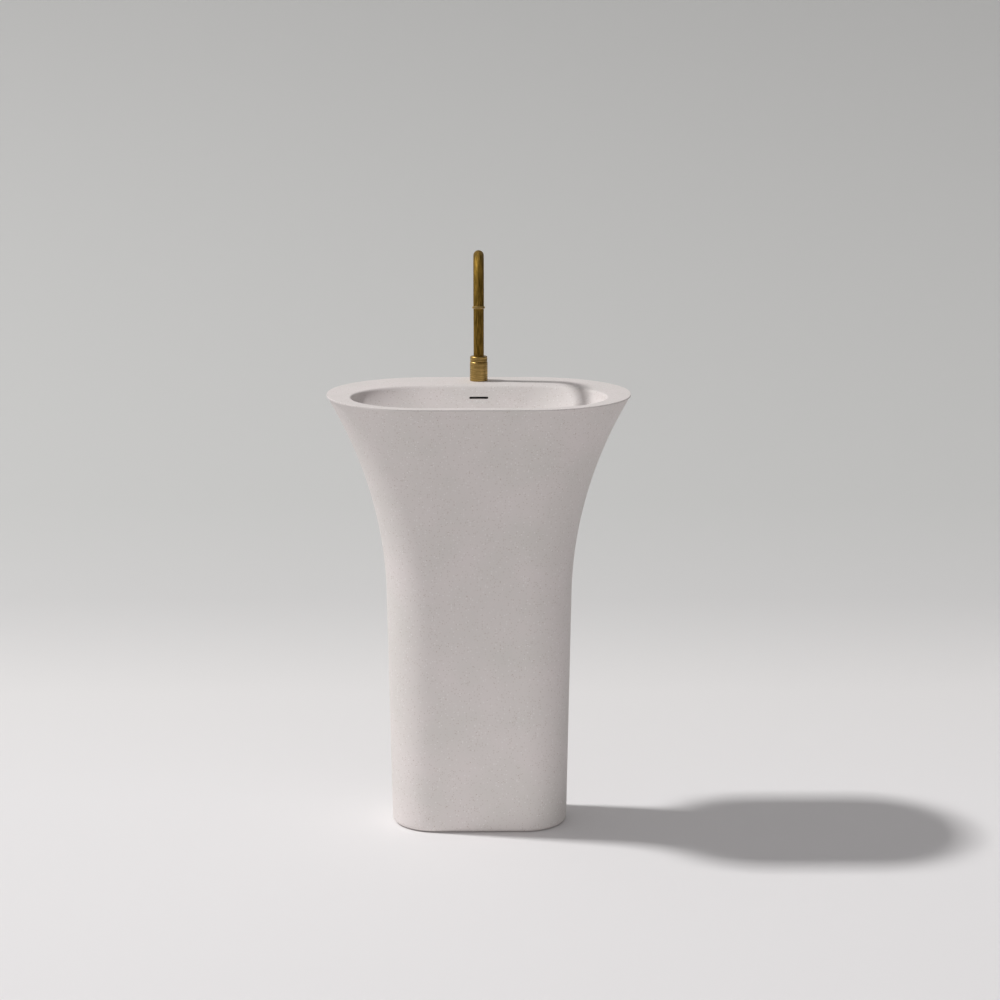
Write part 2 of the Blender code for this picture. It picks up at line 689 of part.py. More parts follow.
def make_trap():
    """A bottle trap: a dip tube from the waste, a body with a cup that unscrews, and a pipe to the wall."""
    waste_end = WASTE_END
    dip_end = TRAP_BOTTOM + DIP_ABOVE_CUP
    wide = WASTE_TUBE - GAP
    pipe_hole = PIPE + GAP
    ring("inlet_seal", wide, PIPE_BORE + GAP, waste_end - GAP - THIN_SEAL, waste_end - GAP, DRAIN, RUBBER)
    flange = waste_end - 2 * GAP - THIN_SEAL
    flange_under = flange - TUBE_FLANGE
    turned(
        "inlet_tube",
        [
            (wide, flange),
            (wide, flange_under),
            (PIPE, flange_under),
            (PIPE, dip_end),
            (PIPE_BORE, dip_end),
            (PIPE_BORE, flange),
        ],
        DRAIN,
        CHROME,
    )
    shelf = flange_under - GAP
    bore = WASTE_TUBE + GAP
    mouth = waste_end + NUT_GRIP
    cap_nut("inlet_nut", bore + NUT_WALL, bore, pipe_hole, mouth, shelf, shelf - NUT_LIP, DRAIN)

    neck = PIPE + NECK_WALL
    collar = TRAP_TOP + NECK_HEIGHT
    shoulder = TRAP_TOP - TRAP_SHOULDER
    inner = TRAP_RADIUS - TRAP_WALL
    body_end = TRAP_BOTTOM + CUP_HEIGHT
    body = turned(
        "trap_body",
        [
            (neck, collar),
            (neck, TRAP_TOP),
            (TRAP_RADIUS, shoulder),
            (TRAP_RADIUS, body_end),
            (inner, body_end),
            (inner, shoulder - TRAP_WALL),
            (pipe_hole, TRAP_TOP - TRAP_WALL),
            (pipe_hole, collar),
        ],
        DRAIN,
        CHROME,
    )
    stub_end = DRAIN_Y + TRAP_RADIUS + STUB_REACH
    stub_at = (0, 0, OUTLET_HEIGHT)
    stub = PIPE + STUB_WALL
    from_the_side = DRAIN_Y + math.sqrt(inner**2 - stub**2)
    boolean(body, solid_along_y("trap_outlet", stub, from_the_side, stub_end, stub_at), "UNION")
    from_the_tube = DRAIN_Y + PIPE
    boolean(body, solid_along_y("trap_outlet_bore", PIPE_BORE, from_the_tube, stub_end + CUT_PAST, stub_at))

    ring("trap_top_seal", neck, pipe_hole, collar + GAP, collar + GAP + SEAL, DRAIN, RUBBER)
    shelf = collar + 2 * GAP + SEAL
    bore = neck + GAP
    mouth = collar - NUT_GRIP
    cap_nut("trap_top_nut", bore + NUT_WALL, bore, pipe_hole, mouth, shelf, shelf + NUT_LIP, DRAIN)

    ledge = body_end - 2 * GAP - SEAL
    cup = TRAP_RADIUS + GAP
    turned(
        "trap_cup",
        [
            (0, TRAP_BOTTOM + TRAP_WALL),
            (inner - CUP_ROUND, TRAP_BOTTOM + TRAP_WALL),
            (inner, TRAP_BOTTOM + TRAP_WALL + CUP_ROUND),
            (inner, ledge),
            (cup, ledge),
            (cup, body_end + CUP_GRIP),
            (cup + TRAP_WALL, body_end + CUP_GRIP),
            (cup + TRAP_WALL, TRAP_BOTTOM + 2 * CUP_ROUND),
            (cup + TRAP_WALL - 2 * CUP_ROUND, TRAP_BOTTOM),
            (0, TRAP_BOTTOM),
        ],
        DRAIN,
        CHROME,
    )
    ring("trap_cup_seal", TRAP_RADIUS, inner + GAP, ledge + GAP, body_end - GAP, DRAIN, RUBBER)

    low = stub_end + GAP
    ring("outlet_seal", stub, PIPE_BORE + GAP, low, low + THIN_SEAL, stub_at, RUBBER, along_y=True)
    flange = low + THIN_SEAL + GAP
    flange_back = flange + TUBE_FLANGE
    turned(
        "outlet_pipe",
        [
            (PIPE, OUTLET_END_Y),
            (PIPE, flange_back),
            (stub, flange_back),
            (stub, flange),
            (PIPE_BORE, flange),
            (PIPE_BORE, OUTLET_END_Y),
        ],
        stub_at,
        CHROME,
        along_y=True,
    )
    shelf = flange_back + GAP
    bore = stub + GAP
    mouth = stub_end - NUT_GRIP + GAP
    end = shelf + NUT_LIP
    cap_nut("outlet_nut", bore + NUT_WALL, bore, pipe_hole, mouth, shelf, end, stub_at, along_y=True)


# Tap


def make_tap_body():
    deck = RIM_HEIGHT
    top = deck + TAP_BODY
    socket = SHANK_RADIUS + GAP
    turned(
        "tap_body",
        [
            (0, CAVITY_FLOOR),
            (CAVITY, CAVITY_FLOOR),
            (CAVITY, top),
            (TAP_RADIUS - TAP_CHAMFER, top),
            (TAP_RADIUS, top - TAP_CHAMFER),
            (TAP_RADIUS, deck + GAP),
            (SEAL_RADIUS, deck + GAP),
            (SEAL_RADIUS, deck + SEAL_SEAT),
            (socket, deck + SEAL_SEAT),
            (socket, SOCKET_TOP),
            (0, SOCKET_TOP),
        ],
        TAP,
        BRUSHED_BRASS,
        TURN_STEPS,
    )
    body = bpy.data.objects["tap_body"]
    for name, x in NIPPLES:
        start = (x, TAP_Y, SOCKET_TOP - CUT_PAST)
        boolean(body, cylinder_cutter(name + "_way", NIPPLE_BORE, start, (0, 0, 1), 2 * CUT_PAST))
        ring(name, NIPPLE, NIPPLE_BORE, NIPPLE_END, SOCKET_TOP - GAP, (x, TAP_Y, 0), RAW_BRASS)

    high = deck + SEAL_SEAT - GAP
    ring("tap_base_seal", SEAL_RADIUS - GAP, socket, deck + GAP, high, TAP, RUBBER, TURN_STEPS)
    shank_low = deck - SHANK_BELOW_DECK
    ring("tap_shank", SHANK_RADIUS, SHANK_BORE, shank_low, SOCKET_TOP - GAP, TAP, RAW_BRASS, TURN_STEPS)
    high = DECK_UNDERSIDE - GAP
    ring("tap_rubber_washer", WASHER, socket, high - SEAL, high, TAP, RUBBER, TURN_STEPS)
    high -= SEAL + GAP
    ring("tap_steel_washer", WASHER, socket, high - STEEL_WASHER, high, TAP, STEEL, TURN_STEPS)
    high -= STEEL_WASHER + GAP
    across = 2 * (SHANK_RADIUS + LOCKNUT_RIM)
    hexagon_nut("tap_backnut", across, socket, high - LOCKNUT, high, TAP, RAW_BRASS)

    low = CAVITY_FLOOR + GAP
    ring("cartridge", CAVITY - 2 * GAP, CARTRIDGE_BORE, low, CARTRIDGE_TOP, TAP, CERAMIC, TURN_STEPS)


def make_control():
    """The ring above the tap body's seam; its skirt reaches down to the cartridge's drive."""
    low = RIM_HEIGHT + TAP_BODY + GAP
    top = low + RING_HEIGHT
    skirt = CAVITY - 2 * GAP
    skirt_low = CARTRIDGE_TOP + DRIVE + 2 * GAP
    turned(
        "control_ring",
        [
            (RING_RADIUS - TAP_CHAMFER, top),
            (RING_RADIUS, top - TAP_CHAMFER),
            (RING_RADIUS, low),
            (skirt, low),
            (skirt, skirt_low),
            (SPOUT_RADIUS + GAP, skirt_low),
            (SPOUT_RADIUS + GAP, top),
        ],
        TAP,
        BRUSHED_BRASS,
        TURN_STEPS,
    )
    low = CARTRIDGE_TOP + GAP
    ring("cartridge_drive", skirt, DRIVE_BORE, low, low + DRIVE, TAP, CERAMIC, TURN_STEPS)


def make_spout():
    """The gooseneck: a riser, a bend to the front and a short straight drop, with its tail and outlet."""
    foot = RIM_HEIGHT + TAP_BODY + 2 * GAP
    bend_z = RIM_HEIGHT + SPOUT_TOP - SPOUT_RADIUS - SPOUT_BEND
    route = [(0, TAP_Y, foot), (0, TAP_Y, bend_z)]
    for step in range(1, SPOUT_STEPS + 1):
        angle = SPOUT_SWEEP * step / SPOUT_STEPS
        y = TAP_Y - SPOUT_BEND * (1 - math.cos(angle))
        route.append((0, y, bend_z + SPOUT_BEND * math.sin(angle)))
    way = Vector((0, -math.sin(SPOUT_SWEEP), math.cos(SPOUT_SWEEP)))
    end = Vector(route[-1]) + way * SPOUT_DROP
    route.append(tuple(end))
    hollow_tube("spout_tube", route, SPOUT_RADIUS, SPOUT_BORE, HIDDEN_STEPS, BRUSHED_BRASS)

    core = SPOUT_RADIUS - GROOVE_DEPTH
    marks = [foot - GAP]
    for step_down in (TAIL_END - GAP, GROOVE, LAND, GROOVE, TAIL_END):
        marks.append(marks[-1] - step_down)
    profile = []
    for index, (high, low) in enumerate(zip(marks, marks[1:])):
        radius = core if index % 2 else SPOUT_RADIUS
        profile += [(radius, high), (radius, low)]
    profile += [(TAIL_BORE, marks[-1]), (TAIL_BORE, marks[0])]
    turned("spout_tail", profile, TAP, RAW_BRASS, TURN_STEPS)
    thick = (GROOVE - GAP) / 2
    for name, high in (("spout_o_ring_upper", marks[1]), ("spout_o_ring_lower", marks[3])):
        loop = circle(core + 2 * GAP + thick, -high + GROOVE / 2, thick, 6)
        turned(name, [(r, -down) for r, down in loop], TAP, RUBBER, TURN_STEPS)

    tilt = math.pi - SPOUT_SWEEP
    sleeve = SPOUT_BORE - GAP
    bore = sleeve - SLEEVE_WALL
    collar = turned(
        "outlet_collar",
        [
            (sleeve, SLEEVE),
            (sleeve, -GAP),
            (COLLAR_RADIUS, -GAP),
            (COLLAR_RADIUS, -GAP - COLLAR_HEIGHT),
            (bore, -GAP - COLLAR_HEIGHT),
            (bore, SLEEVE),
        ],
        tuple(end),
        BRUSHED_BRASS,
        TURN_STEPS,
    )
    low = -GAP - COLLAR_HEIGHT + AERATOR_RECESS
    hole = AERATOR_HOLE
    aerator = pierced_disc("aerator", bore - GAP, hole, hole, AERATOR_PITCH, low, AERATOR_UP, PLASTIC)
    up_the_spout = Vector((0, math.sin(tilt), math.cos(tilt)))
    aerator.location = end + up_the_spout * (low + AERATOR_UP) / 2
    for obj in (collar, aerator):
        obj.rotation_euler.x = -tilt


# Floor brackets


def make_brackets():
    """Angles that hold the foot down: one leg on the floor, the other screwed to the front wall's inside."""
    face = FOOT_FACE + GAP
    thick = BRACKET_THICK
    leg = BRACKET_LEG
    outline = [(0, 0), (leg, 0), (leg, thick), (thick, thick), (thick, leg), (0, leg)]
    for side, x in BRACKETS:
        flat = flat_piece("angle", [outline], BRACKET_WIDTH, STEEL)
        flat.rotation_euler = (math.pi / 2, 0, math.pi / 2)
        flat.location = (x, face, 0)
        bracket = as_mesh(flat, "floor_bracket_" + side)
        hole = SCREW_RADIUS + SCREW_SLACK
        start = (x, face - CUT_PAST / 2, SCREW_HEIGHT)
        boolean(bracket, cylinder_cutter("screw_hole_" + side, hole, start, (0, 1, 0), thick + CUT_PAST))
        start = (x, face + FLOOR_HOLE, -CUT_PAST / 2)
        boolean(bracket, cylinder_cutter("floor_hole_" + side, hole, start, (0, 0, 1), thick + CUT_PAST))

        axis_at = (x, 0, SCREW_HEIGHT)
        head = face + thick + GAP
        tip = FOOT_FACE - INSERT_LENGTH + SCREW_SHORT
        profile = [(0, head + SCREW_RADIUS), (SCREW_HEAD, head + SCREW_RADIUS), (SCREW_HEAD, head)]
        profile += [(SCREW_RADIUS, head), (SCREW_RADIUS, tip), (0, tip)]
        turned("bracket_screw_" + side, profile, axis_at, STEEL, along_y=True)
        back = FOOT_FACE - GAP
        bore = SCREW_RADIUS + GAP
        name = "bracket_insert_" + side
        ring(name, INSERT_RADIUS, bore, back - INSERT_LENGTH, back, axis_at, RAW_BRASS, along_y=True)


# Moving pieces hang from an empty on their joint's axis


def hang_on_axis(name, axis_at, pieces):
    empty = bpy.data.objects.new(name, None)
    PARTS.objects.link(empty)
    empty.location = axis_at
    for piece in pieces:
        child = bpy.data.objects[piece]
        child.parent = empty
        child.matrix_parent_inverse = Matrix.Translation(axis_at).inverted()


make_pedestal_shell()
make_basin()
make_overflow()
make_waste()
make_plug()
make_trap()
make_tap_body()
make_control()
make_spout()
make_brackets()
hang_on_axis("plug_axis", (0, DRAIN_Y, FLANGE_TOP), ("click_plug", "plug_seal"))
hang_on_axis("control_axis", (0, TAP_Y, RIM_HEIGHT + TAP_BODY), ("control_ring", "cartridge_drive"))
SPOUT = ("spout_tube", "spout_tail", "spout_o_ring_upper", "spout_o_ring_lower", "outlet_collar", "aerator")
hang_on_axis("spout_axis", (0, TAP_Y, RIM_HEIGHT + TAP_BODY), SPOUT)
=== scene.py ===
import json
import math

import bmesh
import bpy
import numpy as np
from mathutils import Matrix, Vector


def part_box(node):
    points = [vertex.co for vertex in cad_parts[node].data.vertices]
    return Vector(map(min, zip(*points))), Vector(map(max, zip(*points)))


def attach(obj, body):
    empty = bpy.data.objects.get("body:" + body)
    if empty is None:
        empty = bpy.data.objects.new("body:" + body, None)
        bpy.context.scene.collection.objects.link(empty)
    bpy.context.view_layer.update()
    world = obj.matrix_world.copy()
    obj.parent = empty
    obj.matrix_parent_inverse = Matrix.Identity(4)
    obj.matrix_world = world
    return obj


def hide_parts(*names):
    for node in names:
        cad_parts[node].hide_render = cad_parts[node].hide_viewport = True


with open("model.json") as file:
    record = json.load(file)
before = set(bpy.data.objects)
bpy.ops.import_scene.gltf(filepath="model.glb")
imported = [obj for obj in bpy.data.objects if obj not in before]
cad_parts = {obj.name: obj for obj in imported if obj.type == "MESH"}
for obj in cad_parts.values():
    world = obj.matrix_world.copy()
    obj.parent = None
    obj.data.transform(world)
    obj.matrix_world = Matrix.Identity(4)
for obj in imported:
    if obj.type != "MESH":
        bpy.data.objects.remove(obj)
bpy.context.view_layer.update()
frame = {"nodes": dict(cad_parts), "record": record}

# Levels and places that the frame gives, in metres
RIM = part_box("basin")[1].z
TAP_Y = (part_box("tap_body")[0].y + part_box("tap_body")[1].y) / 2
DRAIN_Y = (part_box("waste_washer")[0].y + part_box("waste_washer")[1].y) / 2
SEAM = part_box("tap_body")[1].z
SLOTS = {part["node"]: part["material_slot"] for part in frame["record"]["subparts"]}
GAP = 0.0003

# Column and flare
RIM_WIDTH = 0.602
RIM_DEPTH = 0.412
RIM_CORNER = 0.200
BASE_WIDTH = 0.353
BASE_DEPTH = 0.184
BASE_CORNER = 0.089
BASE_Y = -0.018
BASE_ROUND = 0.010
DRAFT = 0.0176
FLARE_START = 0.475
SHELL_WALL = 0.014
FOOT_WALL = 0.028
FOOT_HEIGHT = 0.030
SERVICE_WIDTH = 0.180
SERVICE_FROM = 0.100
SERVICE_CORNER = 0.050
CUT_PAST = 0.030
OPEN_ABOVE = 0.1

# Rim and bowl
EDGE_ROUND = 0.0007
EDGE_BAND = 0.0028
EDGE_IN = 0.0010
DECK = 0.018
BOWL_WALL = 0.012
FLOOR_WALL = 0.012
BOWL_WIDTH = 0.500
BOWL_DEPTH = 0.270
BOWL_Y = -0.044
BOWL_CORNER = 0.149
BOWL_DROP = 0.092
BOWL_CURVE = 1.05
BOWL_END_CURVE = 1.85
BOWL_EDGE = 0.004
KEEP_FLAT = 0.002
FLANGE_SEAT = 0.0335
FLANGE_RECESS = 0.0035
DRAIN_BORE = 0.023
TAP_HOLE = 0.014
SLOT_WIDTH = 0.038
SLOT_HEIGHT = 0.0046
SLOT_LEVEL = RIM - 0.0215
SLOT_REACH = 0.115
DECK_UNDERSIDE = RIM - DECK
DRAIN_LEVEL = RIM - BOWL_DROP
FLOOR_UNDERSIDE = DRAIN_LEVEL - FLOOR_WALL
FLARE_SIDE = (RIM_WIDTH - BASE_WIDTH) / 2 - DRAFT * RIM
FLARE_RADIUS = ((RIM - FLARE_START) ** 2 + FLARE_SIDE**2) / (2 * FLARE_SIDE)

# Tap
CAVITY = 0.0139
TAP_RADIUS = 0.0180
TAP_CHAMFER = 0.0019
SEAL_RADIUS = 0.0168
SEAL_SEAT = 0.0017
SOCKET = 0.0123
SOCKET_DEPTH = 0.0047
RING_RADIUS = 0.0175
RING_CHAMFER = 0.0012
SPOUT_RADIUS = 0.0105
SPOUT_BORE = 0.0090
SPOUT_BEND = 0.065
SPOUT_SWEEP = math.radians(165)
SPOUT_DROP = 0.046
SPOUT_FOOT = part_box("spout_tube")[0].z
BEND_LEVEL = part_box("spout_tube")[1].z - SPOUT_RADIUS - SPOUT_BEND
SPOUT_LENGTH = BEND_LEVEL - SPOUT_FOOT + SPOUT_BEND * SPOUT_SWEEP + SPOUT_DROP
COLLAR_RADIUS = 0.0125
COLLAR_BORE = 0.0077
COLLAR_LIP = 0.0033
COLLAR_UP = 0.008
AERATOR_RADIUS = 0.0074
AERATOR_MOUTH = -0.0012
AERATOR_DISH = 0.0006
AERATOR_UP = 0.0052

# Waste, trap and fixings
PIPE = 0.016
PIPE_BORE = 0.0146
TUBE_FLANGE = 0.0022
OVERFLOW_BORE = 0.0062
OVERFLOW_BEND = 0.025
NUT_WALL = 0.005
NUT_LIP = 0.004
NUT_RIBS = 24
NUT_RIB_DEPTH = 0.0011
CUP_WALL = 0.0025
CUP_INSET = 0.0053
CUP_FOOT = 0.006
CUP_ROUND = 0.003
CUP_SEAT = 0.0385
CUP_MOUTH = 0.059
CUP_RIBS = 32
CUP_RIB_DEPTH = 0.0009
PLUG_CROWN = 0.0045
PLUG_EDGE = 0.002
SPINDLE = 0.004
SHANK_WALL = 0.0025
THREAD_PITCH = 0.0015
THREAD_DEPTH = 0.0005
THREAD_RUNOUT = 0.0004

# Fineness
CORNER_STEPS = 32
LONG_STEPS = 28
SHORT_STEPS = 10
TURN_STEPS = 96
RIB_STEPS = 192
BEND_STEPS = 6
POLE_POINTS = BEND_STEPS + 3
SHORT_SIDE_SHARE = 0.36
KEEP_STRAIGHT = 1.3
NEXT_ROW = 0.001
BAND_ROW = 0.0004
UNDER_FROM = 0.04
RIB_BAND = 0.0015
THREAD_BAND = 0.0012
MERGE = 1e-6
SHARP = math.radians(32)

UP, BACK = (0, 0, 1), (0, 1, 0)

# Plain rings: node, bore and way. Each is as high and as wide as its box
RINGS = (
    ("waste_seal_lower", 0.0213, UP), ("waste_washer", 0.0213, UP), ("inlet_seal", 0.0149, UP),
    ("trap_top_seal", 0.0163, UP), ("trap_cup_seal", 0.0288, UP), ("tap_base_seal", 0.0123, UP),
    ("tap_rubber_washer", 0.0123, UP), ("tap_steel_washer", 0.0123, UP), ("hot_inlet_nipple", 0.0030, UP),
    ("cold_inlet_nipple", 0.0030, UP), ("overflow_nut_upper", 0.0083, UP),
    ("overflow_nut_lower", 0.0093, BACK), ("outlet_seal", 0.0149, BACK),
)


# ---------------------------------------------------------------- meshes


def build(name, points, uv, closed):
    """One closed piece from a grid of points that joins round its columns, and also joins its last row to its
    first where closed is set. uv holds one pair for each crossing, one column wider than the points."""
    rows, columns = points.shape[:2]
    index = np.arange(rows * columns).reshape(rows, columns)
    last = rows if closed else rows - 1
    right, below = np.roll(index, -1, 1), np.roll(index, -1, 0)
    faces = np.stack([index, right, np.roll(below, -1, 1), below], -1)[:last].reshape(-1, 4)
    next_row = np.roll(uv, -1, 0)
    corners = np.stack([uv[:, :-1], uv[:, 1:], next_row[:, 1:], next_row[:, :-1]], 2)[:last]
    mesh = bpy.data.meshes.new(name)
    mesh.from_pydata(points.reshape(-1, 3), [], faces)
    layer = mesh.uv_layers.new(name="around_along")
    layer.data.foreach_set("uv", corners.astype(np.float32).ravel())
    work = bmesh.new()
    work.from_mesh(mesh)
    bmesh.ops.remove_doubles(work, verts=work.verts, dist=MERGE)
    bmesh.ops.recalc_face_normals(work, faces=work.faces)
    work.to_mesh(mesh)
    work.free()
    mesh.shade_smooth()
    mesh.set_sharp_from_angle(angle=SHARP)
    piece = bpy.data.objects.new(name, mesh)
    bpy.context.scene.collection.objects.link(piece)
    return piece


def cut(piece, cutters):
    """Takes the cutters away from the piece, and removes them."""
    for cutter in cutters:
        modifier = piece.modifiers.new(cutter.name, "BOOLEAN")
        modifier.solver = "EXACT"
        modifier.object = cutter
    bpy.context.view_layer.update()
    graph = bpy.context.evaluated_depsgraph_get()
    mesh = bpy.data.meshes.new_from_object(piece.evaluated_get(graph))
    piece.modifiers.clear()
    piece.data = mesh
    mesh.shade_smooth()
    mesh.set_sharp_from_angle(angle=SHARP)
    for cutter in cutters:
        bpy.data.objects.remove(cutter)


def as_node(piece, node, body="pedestal", material=None):
    """The piece stands for a CAD node: it takes the node's slot and its finish, and rides on its body."""
    piece.data.materials.clear()
    piece.data.materials.append(material or BY_SLOT[SLOTS[node]])
    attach(piece, body)
    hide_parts(node)


def place(node, way):
    """A node's axis point, its two ends along the way, and its radius."""
    low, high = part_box(node)
    middle = (low + high) / 2
    radius = (high.x - low.x) / 2
    if way == UP:
        return (middle.x, middle.y, 0), low.z, high.z, radius
    return (middle.x, 0, middle.z), low.y, high.y, radius


def rounded(profile, radius):
    """Each corner of a closed profile becomes a parabola from radius before the corner to radius after it, or
    less on a short side, with one more point on each side of it to keep the long sides straight."""
    corner = np.array(profile, float)
    to_last, to_next = np.roll(corner, 1, 0) - corner, np.roll(corner, -1, 0) - corner
    far_last = np.linalg.norm(to_last, axis=1, keepdims=True)
    far_next = np.linalg.norm(to_next, axis=1, keepdims=True)
    reach = np.minimum(radius, SHORT_SIDE_SHARE * np.minimum(far_last, far_next))
    before, after = to_last / far_last * reach, to_next / far_next * reach
    along = np.linspace(0, 1, BEND_STEPS + 1)[None, :, None]
    bend = corner[:, None] + before[:, None] * (1 - along) ** 2 + after[:, None] * along**2
    first, last = corner + KEEP_STRAIGHT * before, corner + KEEP_STRAIGHT * after
    return np.concatenate([first[:, None], bend, last[:, None]], 1).reshape(-1, 2)


def axis_line(at, way=UP):
    """A straight path from at: centre, and two directions across it, at each distance."""
    first = np.array((1.0, 0, 0))
    second = np.cross(way, first)

    def path(distance):
        centre = np.array(at, float) + distance[:, None] * np.array(way, float)
        return centre, np.broadcast_to(first, centre.shape), np.broadcast_to(second, centre.shape)

    return path


def swept(path, profile, closed=True, steps=TURN_STEPS, shape=None):
    """The profile's points (radius, distance) carried round a path: centre + radius * (cos a * first +
    sin a * second). shape(angle, radius, distance) may change the radius. Gives points, map and closed."""
    radius, distance = np.array(profile, float).T
    centre, first, second = path(distance)
    angle = np.linspace(0, 2 * np.pi, steps, endpoint=False)
    spread = np.broadcast_to(radius[:, None], (len(radius), steps))
    if shape:
        spread = shape(angle[None, :], spread, distance[:, None])
    across = np.cos(angle)[None, :, None] * first[:, None] + np.sin(angle)[None, :, None] * second[:, None]
    run = np.concatenate([[0], np.cumsum(np.hypot(np.diff(radius), np.diff(distance)))])
    around = np.linspace(0, 1, steps + 1)[None, :].repeat(len(run), 0)
    uv = np.stack([around, run[:, None].repeat(steps + 1, 1)], -1)
    return centre[:, None] + spread[..., None] * across, uv, closed


def turned(name, profile, at, way=UP, radius=0.0006, steps=TURN_STEPS, shape=None):
    """A rounded closed profile turned about an axis."""
    return build(name, *swept(axis_line(at, way), rounded(profile, radius), True, steps, shape))


def capped(name, profile, at, way=UP, radius=0.0006, steps=TURN_STEPS, shape=None):
    """The same for a profile whose first and last points lie on the axis, where it stays a smooth pole."""
    curve = rounded(profile, radius)[POLE_POINTS:-POLE_POINTS]
    curve = np.concatenate([[profile[0]], curve, [profile[-1]]])
    return build(name, *swept(axis_line(at, way), curve, False, steps, shape))


# ---------------------------------------------------------------- stone


def outline_marks():
    """For each point of a rounded rectangle: its corner centre as a share of the straight half sides, and its
    direction from there. Corners are quarter circles, and the straight sides have points of their own."""
    corners = np.array([(1, 1), (-1, 1), (-1, -1), (1, -1)], float)
    marks = []
    for quarter, count in enumerate((LONG_STEPS, SHORT_STEPS) * 2):
        here, following = corners[quarter], corners[(quarter + 1) % 4]
        angle = np.pi / 2 * (quarter + np.linspace(0, 1, CORNER_STEPS + 1))
        turn = np.stack([np.cos(angle), np.sin(angle)], 1)
        marks.append(np.concatenate([np.broadcast_to(here, turn.shape), turn], 1))
        straight = here + (following - here) * np.linspace(0, 1, count + 2)[1:-1, None]
        marks.append(np.concatenate([straight, np.broadcast_to(turn[-1], straight.shape)], 1))
    return np.concatenate(marks)


MARKS = outline_marks()


def sections(half_width, half_depth, corner_x, corner_y, centre_y, height):
    """A rounded rectangle for each row: corner centre + corner radius * direction, at that row's height."""
    values = np.broadcast_arrays(*np.atleast_1d(half_width, half_depth, corner_x, corner_y, centre_y, height))
    half_width, half_depth, corner_x, corner_y, centre_y, height = np.array(values, float)[..., None]
    corner_x, corner_y = np.minimum(corner_x, half_width - GAP), np.minimum(corner_y, half_depth - GAP)
    share_x, share_y, turn_x, turn_y = MARKS.T
    x = share_x * (half_width - corner_x) + corner_x * turn_x
    y = centre_y + share_y * (half_depth - corner_y) + corner_y * turn_y
    return np.stack([x, y, np.broadcast_to(height, x.shape)], -1)


def flare(height):
    """0 below the flare, then an arc that leaves the column upright and reaches 1 at the rim."""
    above = np.maximum(height - FLARE_START, 0)
    return (FLARE_RADIUS - np.sqrt(FLARE_RADIUS**2 - above**2)) / FLARE_SIDE


def outside(height, inset=0.0):
    """The column and flare at these heights, drawn in by inset: the foot's size + draft * height + flare *
    what is left to the rim's size."""
    height = np.atleast_1d(np.asarray(height, float))
    lean, full, share = DRAFT * height, DRAFT * RIM, flare(height)
    half_width = BASE_WIDTH / 2 + lean + share * (RIM_WIDTH / 2 - BASE_WIDTH / 2 - full) - inset
    half_depth = BASE_DEPTH / 2 + lean + share * (RIM_DEPTH / 2 - BASE_DEPTH / 2 - full) - inset
    corner = BASE_CORNER + lean + share * (RIM_CORNER - BASE_CORNER - full) - inset
    return sections(half_width, half_depth, corner, corner, BASE_Y * (1 - share), height)


def bowl(share, wall=0.0, sink=0.0):
    """The bowl where its size from front to back has fallen to this share. It lies drop * (1 - share **
    curve) below the rim, and its width keeps 1 - (1 - share) ** end curve, so its ends are steeper."""
    share = np.atleast_1d(np.asarray(share, float))
    fall = share**BOWL_CURVE
    end_share = 1 - (1 - share) ** BOWL_END_CURVE
    half_width = FLANGE_SEAT + end_share * (BOWL_WIDTH / 2 - FLANGE_SEAT) + wall
    half_depth = FLANGE_SEAT + share * (BOWL_DEPTH / 2 - FLANGE_SEAT) + wall
    corner = FLANGE_SEAT + end_share * (BOWL_CORNER - FLANGE_SEAT) + wall
    centre = DRAIN_Y + (BOWL_Y - DRAIN_Y) * fall
    height = RIM - (BOWL_DROP + sink) * (1 - fall)
    return sections(half_width, half_depth, corner, half_depth, centre, height)


def share_at(depth):
    """The bowl's share at a depth below the rim."""
    return (1 - depth / BOWL_DROP) ** (1 / BOWL_CURVE)


def disc(radius, height):
    """A circle round the drain."""
    return sections(radius, radius, radius, radius, DRAIN_Y, height)


def plain_uv(points):
    """Stone reads Object coordinates, so its map only counts rows and columns."""
    rows, columns = points.shape[:2]
    return np.stack(np.meshgrid(np.linspace(0, 1, columns + 1), np.linspace(0, 1, rows)), -1)


def bar_cutter(name, outline, centre, low_y, high_y):
    """An outline in X and Z carried along Y, closed by a fan to its centre at each end."""
    rows = ((centre, low_y), (outline, low_y), (outline, high_y), (centre, high_y))
    points = np.stack([np.insert(np.broadcast_to(shape, outline.shape), 1, y, 1) for shape, y in rows])
    return build(name, points, plain_uv(points), False)


def slot_cutter():
    """The overflow slot: two half circles moved apart."""
    angle = np.linspace(0, 2 * np.pi, 48, endpoint=False)
    apart = np.sign(np.cos(angle)) * (SLOT_WIDTH - SLOT_HEIGHT) / 2
    x = np.cos(angle) * SLOT_HEIGHT / 2 + apart
    z = np.sin(angle) * SLOT_HEIGHT / 2 + SLOT_LEVEL
    return bar_cutter("slot", np.stack([x, z], 1), (0, SLOT_LEVEL), BOWL_Y, SLOT_REACH)


def service_cutter():
    """The service opening in the back: straight sides, quarter circles at the lower corners, open on top."""
    half_width, top = SERVICE_WIDTH / 2, RIM + OPEN_ABOVE
    angle = np.linspace(np.pi, 1.5 * np.pi, 25)
    left = np.stack([SERVICE_CORNER * (1 + np.cos(angle)) - half_width,
                     SERVICE_FROM + SERVICE_CORNER * (1 + np.sin(angle))], 1)
    outline = np.concatenate([[(-half_width, top)], left, left[::-1] * (-1, 1), [(half_width, top)]])
    return bar_cutter("service", outline, (0, (SERVICE_FROM + top) / 2), BASE_Y, RIM_DEPTH)


